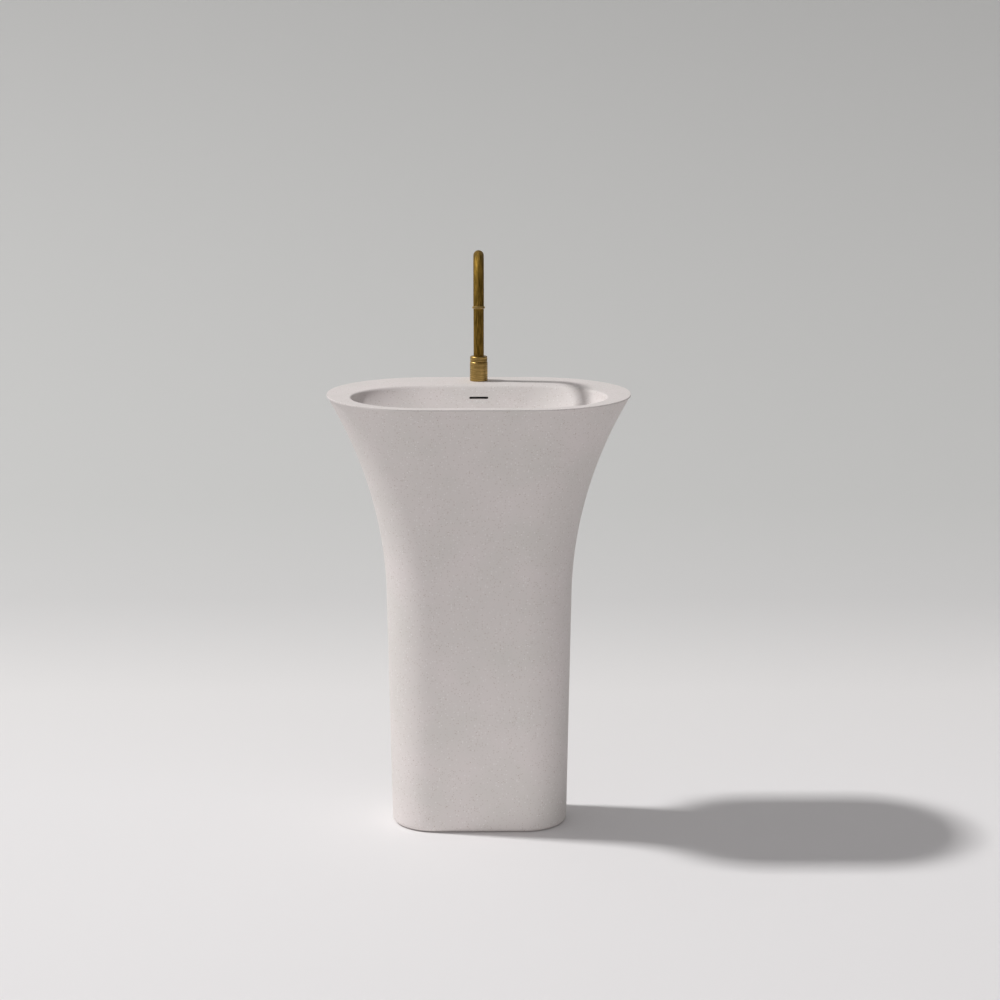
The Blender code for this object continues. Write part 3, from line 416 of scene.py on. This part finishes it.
def make_column():
    """Rounded foot, leaning column and flare outside; the same drawn in by the wall inside, over a
    thick foot."""
    turn = np.linspace(0, np.pi / 2, 9)
    points = np.concatenate([
        outside(BASE_ROUND * (1 - np.cos(turn)), BASE_ROUND * (1 - np.sin(turn))),
        outside(np.linspace(BASE_ROUND + NEXT_ROW, FLARE_START, 14)),
        outside(np.linspace(FLARE_START, DECK_UNDERSIDE, 50)[1:]),
        outside(np.linspace(DECK_UNDERSIDE, FLARE_START, 40), SHELL_WALL),
        outside(np.linspace(FLARE_START, FOOT_HEIGHT + FOOT_WALL - SHELL_WALL, 8)[1:], SHELL_WALL),
        outside([FOOT_HEIGHT, 0.0], FOOT_WALL),
    ])
    column = build("stone_column", points, plain_uv(points), True)
    cut(column, [service_cutter()])
    as_node(column, "pedestal_shell")


def make_basin():
    """One closed skin: the flare's top, a short upright band with a quarter round over it, the flat deck, the
    bowl's rounded lip, the bowl down to the flange's seat, the drain, and the underside back to the flare."""
    turn = np.linspace(0, np.pi / 2, 9)
    inset = np.append(EDGE_IN, EDGE_IN + EDGE_ROUND * (1 - np.cos(turn)))
    height = np.append(RIM - EDGE_BAND, RIM - EDGE_ROUND + EDGE_ROUND * np.sin(turn))
    deck_in = inset[-1] + KEEP_FLAT
    lip = np.linspace(0, np.pi / 2, 12)
    seat = DRAIN_LEVEL - FLANGE_RECESS
    edge_corner, deck_corner = RIM_CORNER - inset, RIM_CORNER - 2 * KEEP_FLAT
    under_deck = bowl(share_at(DECK), BOWL_WALL)
    under_deck[..., 2] = DECK_UNDERSIDE
    points = np.concatenate([
        outside(np.linspace(DECK_UNDERSIDE, height[0] - BAND_ROW, 6), EDGE_IN * np.linspace(0, 1, 6)),
        sections(RIM_WIDTH / 2 - inset, RIM_DEPTH / 2 - inset, edge_corner, edge_corner, 0, height),
        sections(RIM_WIDTH / 2 - deck_in, RIM_DEPTH / 2 - deck_in, deck_corner, deck_corner, 0, RIM),
        bowl(1.0, BOWL_EDGE + KEEP_FLAT),
        bowl(share_at(BOWL_EDGE * (1 - np.cos(lip))), BOWL_EDGE * (1 - np.sin(lip))),
        bowl(np.linspace(share_at(BOWL_EDGE + NEXT_ROW), 0, 72)),
        disc(FLANGE_SEAT, seat), disc(DRAIN_BORE, seat), disc(DRAIN_BORE, FLOOR_UNDERSIDE),
        disc(FLANGE_SEAT + BOWL_WALL, FLOOR_UNDERSIDE),
        bowl(np.linspace(UNDER_FROM, share_at(DECK), 40), BOWL_WALL, FLOOR_WALL),
        under_deck,
    ])
    basin = build("stone_basin", points, plain_uv(points), True)
    bore = [(0, CUT_PAST), (TAP_HOLE, CUT_PAST), (TAP_HOLE, -CUT_PAST), (0, -CUT_PAST)]
    cut(basin, [capped("tap_hole", bore, (0, TAP_Y, RIM), radius=0.0001), slot_cutter()])
    as_node(basin, "basin")


# ---------------------------------------------------------------- materials


def linear(code):
    """An sRGB hex value as linear red, green, blue and alpha."""
    values = [int(code[i : i + 2], 16) / 255 for i in (1, 3, 5)]
    return (*[v / 12.92 if v <= 0.04045 else ((v + 0.055) / 1.055) ** 2.4 for v in values], 1.0)


def add(tree, kind, inputs, out=0, **settings):
    """Adds a node with its settings and gives one of its outputs. An input takes a number, a colour or
    another node's output."""
    made = tree.nodes.new("ShaderNode" + kind)
    for name, value in settings.items():
        setattr(made, name, value)
    for name, value in inputs.items():
        if isinstance(value, bpy.types.NodeSocket):
            tree.links.new(value, made.inputs[name])
        else:
            made.inputs[name].default_value = value
    return made.outputs[out]


def new_material(name, **constants):
    """A material with its shader's constant sockets set."""
    material = bpy.data.materials.new(name)
    material.use_nodes = True
    shader = material.node_tree.nodes["Principled BSDF"]
    for socket, value in constants.items():
        shader.inputs[socket.replace("_", " ")].default_value = value
    return material, material.node_tree, shader


def connect(tree, shader, **sockets):
    """Links outputs to the shader's sockets."""
    for name, output in sockets.items():
        tree.links.new(output, shader.inputs[name.replace("_", " ")])


# Cell sizes in metres. Real grit of about a millimetre would be too fine to show, so its specks are drawn
# about twice as coarse
GRIT = 0.0032
COARSE_GRIT = 0.0060
PALE_GRIT = GRIT * 1.3
# Each speck: cell size, colour, share of cells without one, and the speck's radius as a share of its cell
SPECKS = (
    (GRIT, "#CDC4BF", 0.80, 0.42),
    (COARSE_GRIT, "#C4B6B0", 0.90, 0.22),
    (PALE_GRIT, "#E7E2E0", 0.84, 0.40),
)
CLOUDS_PER_METRE = 9.0
SANDING_PER_METRE = 700.0
SANDING_DEPTH = 0.0002


def cast_stone():
    """Mineral grit cast in resin and sanded matt: a warm off-white that clouds a little, with specks of
    darker and paler grit, and no gloss but a soft sheen."""
    material, tree, shader = new_material("cast_mineral_resin_sanded", IOR=1.49, Specular_IOR_Level=0.4)
    where = add(tree, "TexCoord", {}, "Object")
    cloud = add(tree, "TexNoise", {"Vector": where, "Scale": CLOUDS_PER_METRE, "Detail": 3.0})
    cloud = add(tree, "MapRange", {0: cloud, 1: 0.3, 2: 0.7})
    colour = add(tree, "Mix", {0: cloud, 6: linear("#E0D8D6"), 7: linear("#D8D3CF")}, 2, data_type="RGBA")
    for size, speck, rare, reach in SPECKS:
        cells = {"Vector": where, "Scale": 1 / size}
        chance = add(tree, "SeparateColor", {0: add(tree, "TexVoronoi", cells, "Color")})
        chosen = add(tree, "MapRange", {0: chance, 1: rare, 2: rare + 0.02})
        distance = add(tree, "TexVoronoi", cells, "Distance")
        spot = add(tree, "MapRange", {0: distance, 1: reach, 2: reach * 0.7})
        share = add(tree, "Math", {0: chosen, 1: spot}, operation="MULTIPLY")
        colour = add(tree, "Mix", {0: share, 6: colour, 7: linear(speck)}, 2, data_type="RGBA")
    grain = add(tree, "TexNoise", {"Vector": where, "Scale": SANDING_PER_METRE, "Detail": 4.0})
    roughness = add(tree, "MapRange", {0: grain, 3: 0.52, 4: 0.70})
    bump = add(tree, "Bump", {"Height": grain, "Strength": 0.12, "Distance": SANDING_DEPTH})
    connect(tree, shader, Base_Color=colour, Roughness=roughness, Normal=bump)
    return material


BRUSH_DEPTH = 0.00015
TARNISH_PER_METRE = 60.0


def brass(name, around, along, dark, light, roughness):
    """Brass, brushed and left to darken: fine streaks of lighter metal on a brown gold, brown patches of
    tarnish, and blurred reflections. around and along give the streaks per turn and per metre."""
    material, tree, shader = new_material(name, Metallic=1.0)
    lie = add(tree, "UVMap", {}, uv_map="around_along")
    stretch = add(tree, "Mapping", {"Vector": lie, "Scale": (around, along, 1.0)})
    streak = add(tree, "TexNoise", {"Vector": stretch, "Scale": 1.0, "Detail": 4.0, "Roughness": 0.65})
    shade = add(tree, "MapRange", {0: streak, 1: 0.38, 2: 0.64})
    tone = add(tree, "Mix", {0: shade, 6: linear(dark), 7: linear(light)}, 2, data_type="RGBA")
    where = add(tree, "TexCoord", {}, "Object")
    patch = add(tree, "TexNoise", {"Vector": where, "Scale": TARNISH_PER_METRE, "Detail": 3.0})
    tarnish = add(tree, "MapRange", {0: patch, 1: 0.45, 2: 0.75, 4: 0.35})
    aged = add(tree, "Mix", {0: tarnish, 6: tone, 7: linear("#4E3C18")}, 2, data_type="RGBA")
    rough = add(tree, "MapRange", {0: streak, 1: 0.3, 2: 0.7, 3: roughness - 0.06, 4: roughness + 0.10})
    bump = add(tree, "Bump", {"Height": streak, "Strength": 0.25, "Distance": BRUSH_DEPTH})
    connect(tree, shader, Base_Color=aged, Roughness=rough, Normal=bump)
    return material


def worn(name, colour, other, metallic, roughness, per_metre, depth, **constants):
    """A finish whose colour, gloss and height all follow one fine noise of per_metre grains and a depth."""
    material, tree, shader = new_material(name, Metallic=metallic, **constants)
    where = add(tree, "TexCoord", {}, "Object")
    noise = add(tree, "TexNoise", {"Vector": where, "Scale": per_metre, "Detail": 4.0})
    share = add(tree, "MapRange", {0: noise, 1: 0.35, 2: 0.65})
    tone = add(tree, "Mix", {0: share, 6: linear(colour), 7: linear(other)}, 2, data_type="RGBA")
    rough = add(tree, "MapRange", {0: noise, 1: 0.3, 2: 0.7, 3: roughness * 0.8, 4: roughness * 1.2})
    bump = add(tree, "Bump", {"Height": noise, "Strength": 0.3, "Distance": depth})
    connect(tree, shader, Base_Color=tone, Roughness=rough, Normal=bump)
    return material


# Real tool marks are a few tenths of a millimetre apart, too fine to show, so they are drawn a millimetre or
# more apart. Turned on a lathe: close rings round the axis that catch the light
TURNED_BRASS = brass("aged_brass_brushed_round", 1.5, 900.0, "#5E4718", "#EFCB80", 0.38)
# Drawn, then brushed lengthwise: a long grain, darker and duller
DRAWN_BRASS = brass("aged_brass_brushed_lengthwise", 40.0, 30.0, "#52400F", "#AE8C42", 0.62)

BY_SLOT = {
    "cast_stone": cast_stone(),
    "brushed_brass": TURNED_BRASS,
    # Free-machining brass as it leaves the lathe: yellower and cleaner than the tap, with a dull gleam
    "raw_brass": worn("free_machining_brass", "#C8A860", "#B2924C", 1.0, 0.30, 900.0, 0.00005),
    # Chrome plate over polished brass: a cold mirror
    "chrome_plate": worn("chrome_plate_polished", "#D5D7DA", "#CED0D3", 1.0, 0.10, 120.0, 0.00001),
    # Zinc plate on pressed steel: a soft blue grey with yellower patches
    "zinc_steel": worn("zinc_plated_steel", "#B5B9BF", "#A6A7A2", 1.0, 0.36, 160.0, 0.00004),
    # Moulded rubber: nearly black and dull
    "black_rubber": worn("moulded_rubber", "#1A1A1B", "#242425", 0.0, 0.70, 1500.0, 0.00004, IOR=1.52),
    # Moulded polypropylene: milky white with a waxy gleam
    "white_plastic": worn("polypropylene_moulded", "#DEDEDA", "#E6E6E3", 0.0, 0.40, 700.0, 0.00003, IOR=1.49),
    # Moulded acetal: an even mid grey, a little glossier
    "cartridge_plastic": worn("acetal_cartridge_moulded", "#5E6064", "#6A6C70", 0.0, 0.35, 700.0, 0.00003,
                              IOR=1.48),
}

# ---------------------------------------------------------------- tap


def spout_path(distance):
    """Up the riser, round the bend towards the front, then straight along the outlet."""
    rise = BEND_LEVEL - SPOUT_FOOT
    up = np.minimum(distance, rise)
    angle = np.clip((distance - rise) / SPOUT_BEND, 0, SPOUT_SWEEP)
    after = np.maximum(distance - rise - SPOUT_BEND * SPOUT_SWEEP, 0)
    y = TAP_Y - SPOUT_BEND * (1 - np.cos(angle)) - after * np.sin(angle)
    z = SPOUT_FOOT + up + SPOUT_BEND * np.sin(angle) + after * np.cos(angle)
    centre = np.stack([0 * y, y, z], 1)
    second = np.stack([0 * y, np.cos(angle), np.sin(angle)], 1)
    return centre, np.broadcast_to((1.0, 0, 0), centre.shape), second


# The middle of the outlet, and the way from there back up into the tube
OUTLET = spout_path(np.array([SPOUT_LENGTH]))[0][0]
INTO_SPOUT = (0, math.sin(SPOUT_SWEEP), -math.cos(SPOUT_SWEEP))


def make_tap():
    """The turned body, the ring over its seam, the gooseneck and the collar on its outlet."""
    at = (0, TAP_Y, 0)
    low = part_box("tap_body")[0].z
    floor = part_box("cartridge")[0].z - GAP
    body = capped("tap_body_turned", [
        (0, floor), (CAVITY, floor), (CAVITY, SEAM), (TAP_RADIUS - TAP_CHAMFER, SEAM),
        (TAP_RADIUS, SEAM - TAP_CHAMFER), (TAP_RADIUS, low), (SEAL_RADIUS, low),
        (SEAL_RADIUS, low + SEAL_SEAT), (SOCKET, low + SEAL_SEAT), (SOCKET, low + SOCKET_DEPTH),
        (0, low + SOCKET_DEPTH),
    ], at, radius=0.0003)
    as_node(body, "tap_body")

    low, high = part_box("control_ring")[0].z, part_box("control_ring")[1].z
    foot, skirt, bore = SEAM + GAP, CAVITY - 2 * GAP, SPOUT_RADIUS + GAP
    ring = turned("control_ring_turned", [
        (RING_RADIUS - RING_CHAMFER, high), (RING_RADIUS, high - RING_CHAMFER), (RING_RADIUS, foot),
        (skirt, foot), (skirt, low), (bore, low), (bore, high),
    ], at, radius=0.0003)
    as_node(ring, "control_ring", "control")

    stations = np.linspace(NEXT_ROW, SPOUT_LENGTH - NEXT_ROW, 260)
    skin = np.stack([np.full_like(stations, SPOUT_RADIUS), stations], 1)
    lining = np.stack([np.full_like(stations, SPOUT_BORE), stations[::-1]], 1)
    # The tube's edges are broken at both ends
    end = [(SPOUT_RADIUS - 0.0002, SPOUT_LENGTH - 0.0003), (SPOUT_RADIUS - 0.0005, SPOUT_LENGTH),
           (SPOUT_BORE + 0.0002, SPOUT_LENGTH)]
    start = [(SPOUT_BORE + 0.0002, 0), (SPOUT_RADIUS - 0.0004, 0), (SPOUT_RADIUS - 0.0001, 0.0003)]
    spout = build("gooseneck_drawn", *swept(spout_path, np.concatenate([skin, end, lining, start])))
    as_node(spout, "spout_tube", "spout", DRAWN_BRASS)

    seat = SPOUT_BORE - GAP
    collar = turned("outlet_collar_turned", [
        (seat, COLLAR_UP), (seat, -GAP), (COLLAR_RADIUS, -GAP), (COLLAR_RADIUS, -COLLAR_LIP),
        (COLLAR_BORE, -COLLAR_LIP), (COLLAR_BORE, COLLAR_UP),
    ], OUTLET, INTO_SPOUT, radius=0.0004)
    as_node(collar, "outlet_collar", "spout")


def make_aerator():
    """A short plug up inside the collar, with a mouth that is dished a little."""
    insert = capped("aerator_insert", [
        (0, AERATOR_UP), (AERATOR_RADIUS, AERATOR_UP), (AERATOR_RADIUS, AERATOR_MOUTH),
        (0, AERATOR_MOUTH + AERATOR_DISH),
    ], OUTLET, INTO_SPOUT, radius=0.0003)
    as_node(insert, "aerator", "spout")


# ---------------------------------------------------------------- fittings


def ribs(outer, count, depth):
    """Grip ribs: the outer wall falls in by depth between count ribs, and the bore stays round."""
    def shape(angle, spread, distance):
        return spread - np.where(spread > outer - RIB_BAND, depth * (0.5 - 0.5 * np.cos(count * angle)), 0)
    return shape


def thread(outer):
    """A helical thread cut into the outer wall: its radius falls by a cosine of angle + distance / pitch."""
    def shape(angle, spread, distance):
        turn = angle + 2 * np.pi * distance / THREAD_PITCH
        return spread - np.where(spread > outer - THREAD_BAND, THREAD_DEPTH * (0.5 - 0.5 * np.cos(turn)), 0)
    return shape


def cap_nut(node, way, lip_high):
    """A nut that closes in to the pipe at one end, with grip ribs round it."""
    at, low, high, outer = place(node, way)
    lip, shelf, mouth = (high, high - NUT_LIP, low) if lip_high else (low, low + NUT_LIP, high)
    hole, bore = PIPE + GAP, outer - NUT_WALL
    profile = [(outer, lip), (outer, mouth), (bore, mouth), (bore, shelf), (hole, shelf), (hole, lip)]
    grip = ribs(outer, NUT_RIBS, NUT_RIB_DEPTH)
    as_node(turned(node + "_ribbed", profile, at, way, 0.0007, RIB_STEPS, grip), node)


def flanged_tube(node, way, flange_high):
    """A drawn tube with a flange at one end."""
    at, low, high, wide = place(node, way)
    flange, under, end = (high, high - TUBE_FLANGE, low) if flange_high else (low, low + TUBE_FLANGE, high)
    profile = [(wide, flange), (wide, under), (PIPE, under), (PIPE, end), (PIPE_BORE, end),
               (PIPE_BORE, flange)]
    as_node(turned(node + "_drawn", profile, at, way, 0.0004), node)


def overflow_path(distance):
    """Back from the waste's port, round a quarter bend, then up to the overflow box."""
    low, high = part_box("overflow_pipe")
    radius = (high.x - low.x) / 2
    level = high.y - radius - OVERFLOW_BEND - low.y
    angle = np.clip((distance - level) / OVERFLOW_BEND, 0, np.pi / 2)
    after = np.maximum(distance - level - OVERFLOW_BEND * np.pi / 2, 0)
    y = low.y + np.minimum(distance, level) + OVERFLOW_BEND * np.sin(angle)
    z = low.z + radius + OVERFLOW_BEND * (1 - np.cos(angle)) + after
    centre = np.stack([0 * y, y, z], 1)
    second = np.stack([0 * y, np.sin(angle), -np.cos(angle)], 1)
    return centre, np.broadcast_to((1.0, 0, 0), centre.shape), second


def make_overflow_pipe():
    """A tube along the overflow's path, as long as its two straight ends and the quarter bend."""
    low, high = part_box("overflow_pipe")
    outer = (high.x - low.x) / 2
    ends = (high.y - outer - low.y - OVERFLOW_BEND) + (high.z - low.z - outer - OVERFLOW_BEND)
    stations = np.linspace(0, ends + OVERFLOW_BEND * np.pi / 2, 120)
    skin = np.stack([np.full_like(stations, outer), stations], 1)
    lining = np.stack([np.full_like(stations, OVERFLOW_BORE), stations[::-1]], 1)
    pipe = build("overflow_pipe_bent", *swept(overflow_path, np.concatenate([skin, lining]), steps=64))
    as_node(pipe, "overflow_pipe")


def make_shank():
    """A threaded tube under the tap."""
    at, low, high, outer = place("tap_shank", UP)
    bore, root = outer - SHANK_WALL, outer - THREAD_DEPTH
    level = np.arange(low + THREAD_RUNOUT, high - THREAD_RUNOUT, THREAD_PITCH / 8)
    side = np.stack([np.full_like(level, outer), level], 1)
    profile = np.concatenate([[(bore, low), (root, low)], side, [(root, high), (bore, high)]])
    shank = build("tap_shank_threaded", *swept(axis_line(at), profile, True, 64, thread(outer)))
    as_node(shank, "tap_shank")


def make_click_plug():
    """A crown that falls by a square from its middle to its edge, on a spindle."""
    at, low, high, radius = place("click_plug", UP)
    under = high - PLUG_CROWN
    share = np.linspace(0, 1, 16)
    crown = np.stack([share * radius, high - (PLUG_CROWN - PLUG_EDGE) * share**2], 1)
    stem = [(radius, under), (SPINDLE, under), (SPINDLE, low), (0, low)]
    plug = capped("click_plug_turned", np.concatenate([crown, stem]), at, radius=0.0005)
    as_node(plug, "click_plug", "plug")


def make_trap_cup():
    """A ribbed cup that screws over the trap's body."""
    at, low, high, outer = place("trap_cup", UP)
    inner, grip = outer - CUP_INSET, outer - CUP_WALL
    cup = capped("trap_cup_ribbed", [
        (0, low + CUP_WALL), (inner - CUP_ROUND, low + CUP_WALL), (inner, low + CUP_WALL + CUP_ROUND),
        (inner, low + CUP_SEAT), (grip, low + CUP_SEAT), (grip, low + CUP_MOUTH), (outer, low + CUP_MOUTH),
        (outer, low + CUP_FOOT), (outer - CUP_FOOT, low), (0, low),
    ], at, radius=0.0009, steps=RIB_STEPS, shape=ribs(outer, CUP_RIBS, CUP_RIB_DEPTH))
    as_node(cup, "trap_cup")


def make_fittings():
    """Everything under the deck that is made anew."""
    for node, bore, way in RINGS:
        at, low, high, outer = place(node, way)
        profile = [(outer, high), (outer, low), (bore, low), (bore, high)]
        as_node(turned(node + "_fine", profile, at, way, 0.0004), node)
    cap_nut("inlet_nut", UP, False)
    cap_nut("trap_top_nut", UP, True)
    cap_nut("outlet_nut", BACK, True)
    flanged_tube("inlet_tube", UP, True)
    flanged_tube("outlet_pipe", BACK, False)
    make_overflow_pipe()
    make_shank()
    make_click_plug()
    make_trap_cup()


def keep_cad_nodes():
    """The CAD nodes that nothing replaces get the finish of their slot."""
    for name, node in frame["nodes"].items():
        if not node.hide_render:
            node.data.materials.clear()
            node.data.materials.append(BY_SLOT[SLOTS[name]])


# ---------------------------------------------------------------- studio

# The floor's tone along its run from under the basin, back and up the wall: painted shade that darkens the
# sheet further back and up the wall, where less light falls
BACKDROP_PAINTED_SHADE = ((0.1, "#EAE8E8"), (0.9, "#E5E3E2"), (1.75, "#D1D0CF"), (2.4, "#CBCBC9"))
FLOOR_REACH = 9.0
FLAT_TO = 1.35
SWEEP_RADIUS = 3.4
WALL_TOP = 9.0

# The sky's light at the horizon behind on the left, at the horizon in front on the right, and overhead
HORIZON_LIT = (0.27, 0.266, 0.268, 1)
HORIZON_DARK = (0.06, 0.058, 0.059, 1)
OVERHEAD = (0.42, 0.413, 0.42, 1)
DARK_SIDE = (0.8, -0.6, 0.0)

KEY_WAY = np.array([-0.738, 0.111, 1.0]) / math.sqrt(0.738**2 + 0.111**2 + 1)
KEY_DISTANCE = 28.7
KEY_WIDTH = 2.3
KEY_HEIGHT = 1.9
KEY_WATTS = 5900.0

# Soft strips low in front: place, height, spread in degrees and watts
FILL_WIDTH = 2.6
FILLS = (
    ("fill_far", (-0.3, -2.2, 0.22), 0.40, 180, 3.2),
    ("fill_near", (-0.3, -1.25, 0.06), 0.10, 75, 0.9),
)

CAMERA_AT = (0.0, -4.7787, 1.6458)
CAMERA_DOWN = 0.2037
CAMERA_ROLL = -0.00877
LENS = 88.08


def make_floor():
    """A pale sheet that lies flat, sweeps up in a quarter circle, and ends in a wall. It can be seen through
    from behind and below."""
    turn = np.linspace(0, np.pi / 2, 60)
    wall = FLAT_TO + SWEEP_RADIUS
    y = np.concatenate([[-FLOOR_REACH, -FLOOR_REACH / 3, 0.0], FLAT_TO + SWEEP_RADIUS * np.sin(turn), [wall]])
    z = np.concatenate([[0, 0, 0], SWEEP_RADIUS * (1 - np.cos(turn)), [WALL_TOP]])
    rows = len(y)
    x = np.broadcast_to([-FLOOR_REACH, FLOOR_REACH], (rows, 2))
    points = np.stack([x, y[:, None].repeat(2, 1), z[:, None].repeat(2, 1)], -1)
    index = np.arange(rows * 2).reshape(rows, 2)
    faces = np.stack([index[:-1, 0], index[:-1, 1], index[1:, 1], index[1:, 0]], 1)
    mesh = bpy.data.meshes.new("floor")
    mesh.from_pydata(points.reshape(-1, 3), [], faces)
    run = np.concatenate([[0], np.cumsum(np.hypot(np.diff(y), np.diff(z)))]) + y[0]
    uv = np.stack([np.broadcast_to([0.0, 1.0], (rows, 2)), run[:, None].repeat(2, 1)], -1).reshape(-1, 2)
    layer = mesh.uv_layers.new(name="across_along")
    layer.data.foreach_set("uv", uv[faces.ravel()].astype(np.float32).ravel())
    mesh.shade_smooth()
    floor = bpy.data.objects.new("floor", mesh)
    bpy.context.scene.collection.objects.link(floor)

    material, tree, shader = new_material("pale_studio_floor", Roughness=0.75)
    lie = add(tree, "UVMap", {}, uv_map="across_along")
    along = add(tree, "SeparateXYZ", {0: lie}, 1)
    # Painted shade: the sheet's colour darkens along its run, back and up the wall, in place of light that
    # falls off there
    shade = linear(BACKDROP_PAINTED_SHADE[0][1])
    for (start, _), (end, colour) in zip(BACKDROP_PAINTED_SHADE, BACKDROP_PAINTED_SHADE[1:]):
        share = add(tree, "MapRange", {0: along, 1: start, 2: end})
        shade = add(tree, "Mix", {0: share, 6: shade, 7: linear(colour)}, 2, data_type="RGBA")
    connect(tree, shader, Base_Color=shade)
    clear = add(tree, "BsdfTransparent", {})
    behind = add(tree, "NewGeometry", {}, "Backfacing")
    seen = add(tree, "MixShader", {0: behind, 1: shader.outputs[0], 2: clear})
    tree.links.new(seen, tree.nodes["Material Output"].inputs["Surface"])
    mesh.materials.append(material)


def area_light(name, width, height, watts, at, towards):
    """A rectangle of soft light at one place, turned towards another."""
    lamp = bpy.data.lights.new(name, "AREA")
    lamp.shape = "RECTANGLE"
    lamp.size = width
    lamp.size_y = height
    lamp.energy = watts
    light = bpy.data.objects.new(name, lamp)
    bpy.context.scene.collection.objects.link(light)
    light.location = at
    light.rotation_euler = (Vector(towards) - Vector(at)).to_track_quat("-Z", "Y").to_euler()
    return light


def make_lights():
    """A distant key from the upper left, two strips that lift only the stone, and a soft sky."""
    area_light("key", KEY_WIDTH, KEY_HEIGHT, KEY_WATTS, tuple(KEY_WAY * KEY_DISTANCE), (0, 0, 0))
    lit = bpy.data.collections.new("lit_by_fill")
    for name in ("stone_column", "stone_basin"):
        lit.objects.link(bpy.data.objects[name])
    for name, at, height, spread, watts in FILLS:
        fill = area_light(name, FILL_WIDTH, height, watts, at, (0, 0, at[2]))
        fill.data.spread = math.radians(spread)
        fill.visible_camera = False
        fill.light_linking.receiver_collection = lit

    world = bpy.data.worlds.new("studio")
    world.use_nodes = True
    tree = world.node_tree
    # The sky changes from just under the horizon to well overhead, and from its lit to its dark side
    way = add(tree, "TexCoord", {}, "Generated")
    rise = add(tree, "MapRange", {0: add(tree, "SeparateXYZ", {0: way}, 2), 1: -0.05, 2: 0.85})
    facing = add(tree, "VectorMath", {0: way, 1: DARK_SIDE}, "Value", operation="DOT_PRODUCT")
    facing = add(tree, "MapRange", {0: facing, 1: -0.7, 2: 0.7})
    horizon = add(tree, "Mix", {0: facing, 6: HORIZON_LIT, 7: HORIZON_DARK}, 2, data_type="RGBA")
    sky = add(tree, "Mix", {0: rise, 6: horizon, 7: OVERHEAD}, 2, data_type="RGBA")
    tree.links.new(sky, tree.nodes["Background"].inputs["Color"])
    bpy.context.scene.world = world
    bpy.context.scene.view_settings.view_transform = "Standard"


def make_camera():
    """A long lens at standing height, straight in front and turned a little down."""
    data = bpy.data.cameras.new("camera")
    data.lens = LENS
    data.sensor_width = 36.0
    camera = bpy.data.objects.new("camera", data)
    bpy.context.scene.collection.objects.link(camera)
    camera.location = CAMERA_AT
    camera.rotation_euler = (math.pi / 2 - CAMERA_DOWN, 0.0, CAMERA_ROLL)
    bpy.context.scene.camera = camera


make_column()
make_basin()
make_tap()
make_fittings()
make_aerator()
keep_cad_nodes()
make_floor()
make_lights()
make_camera()
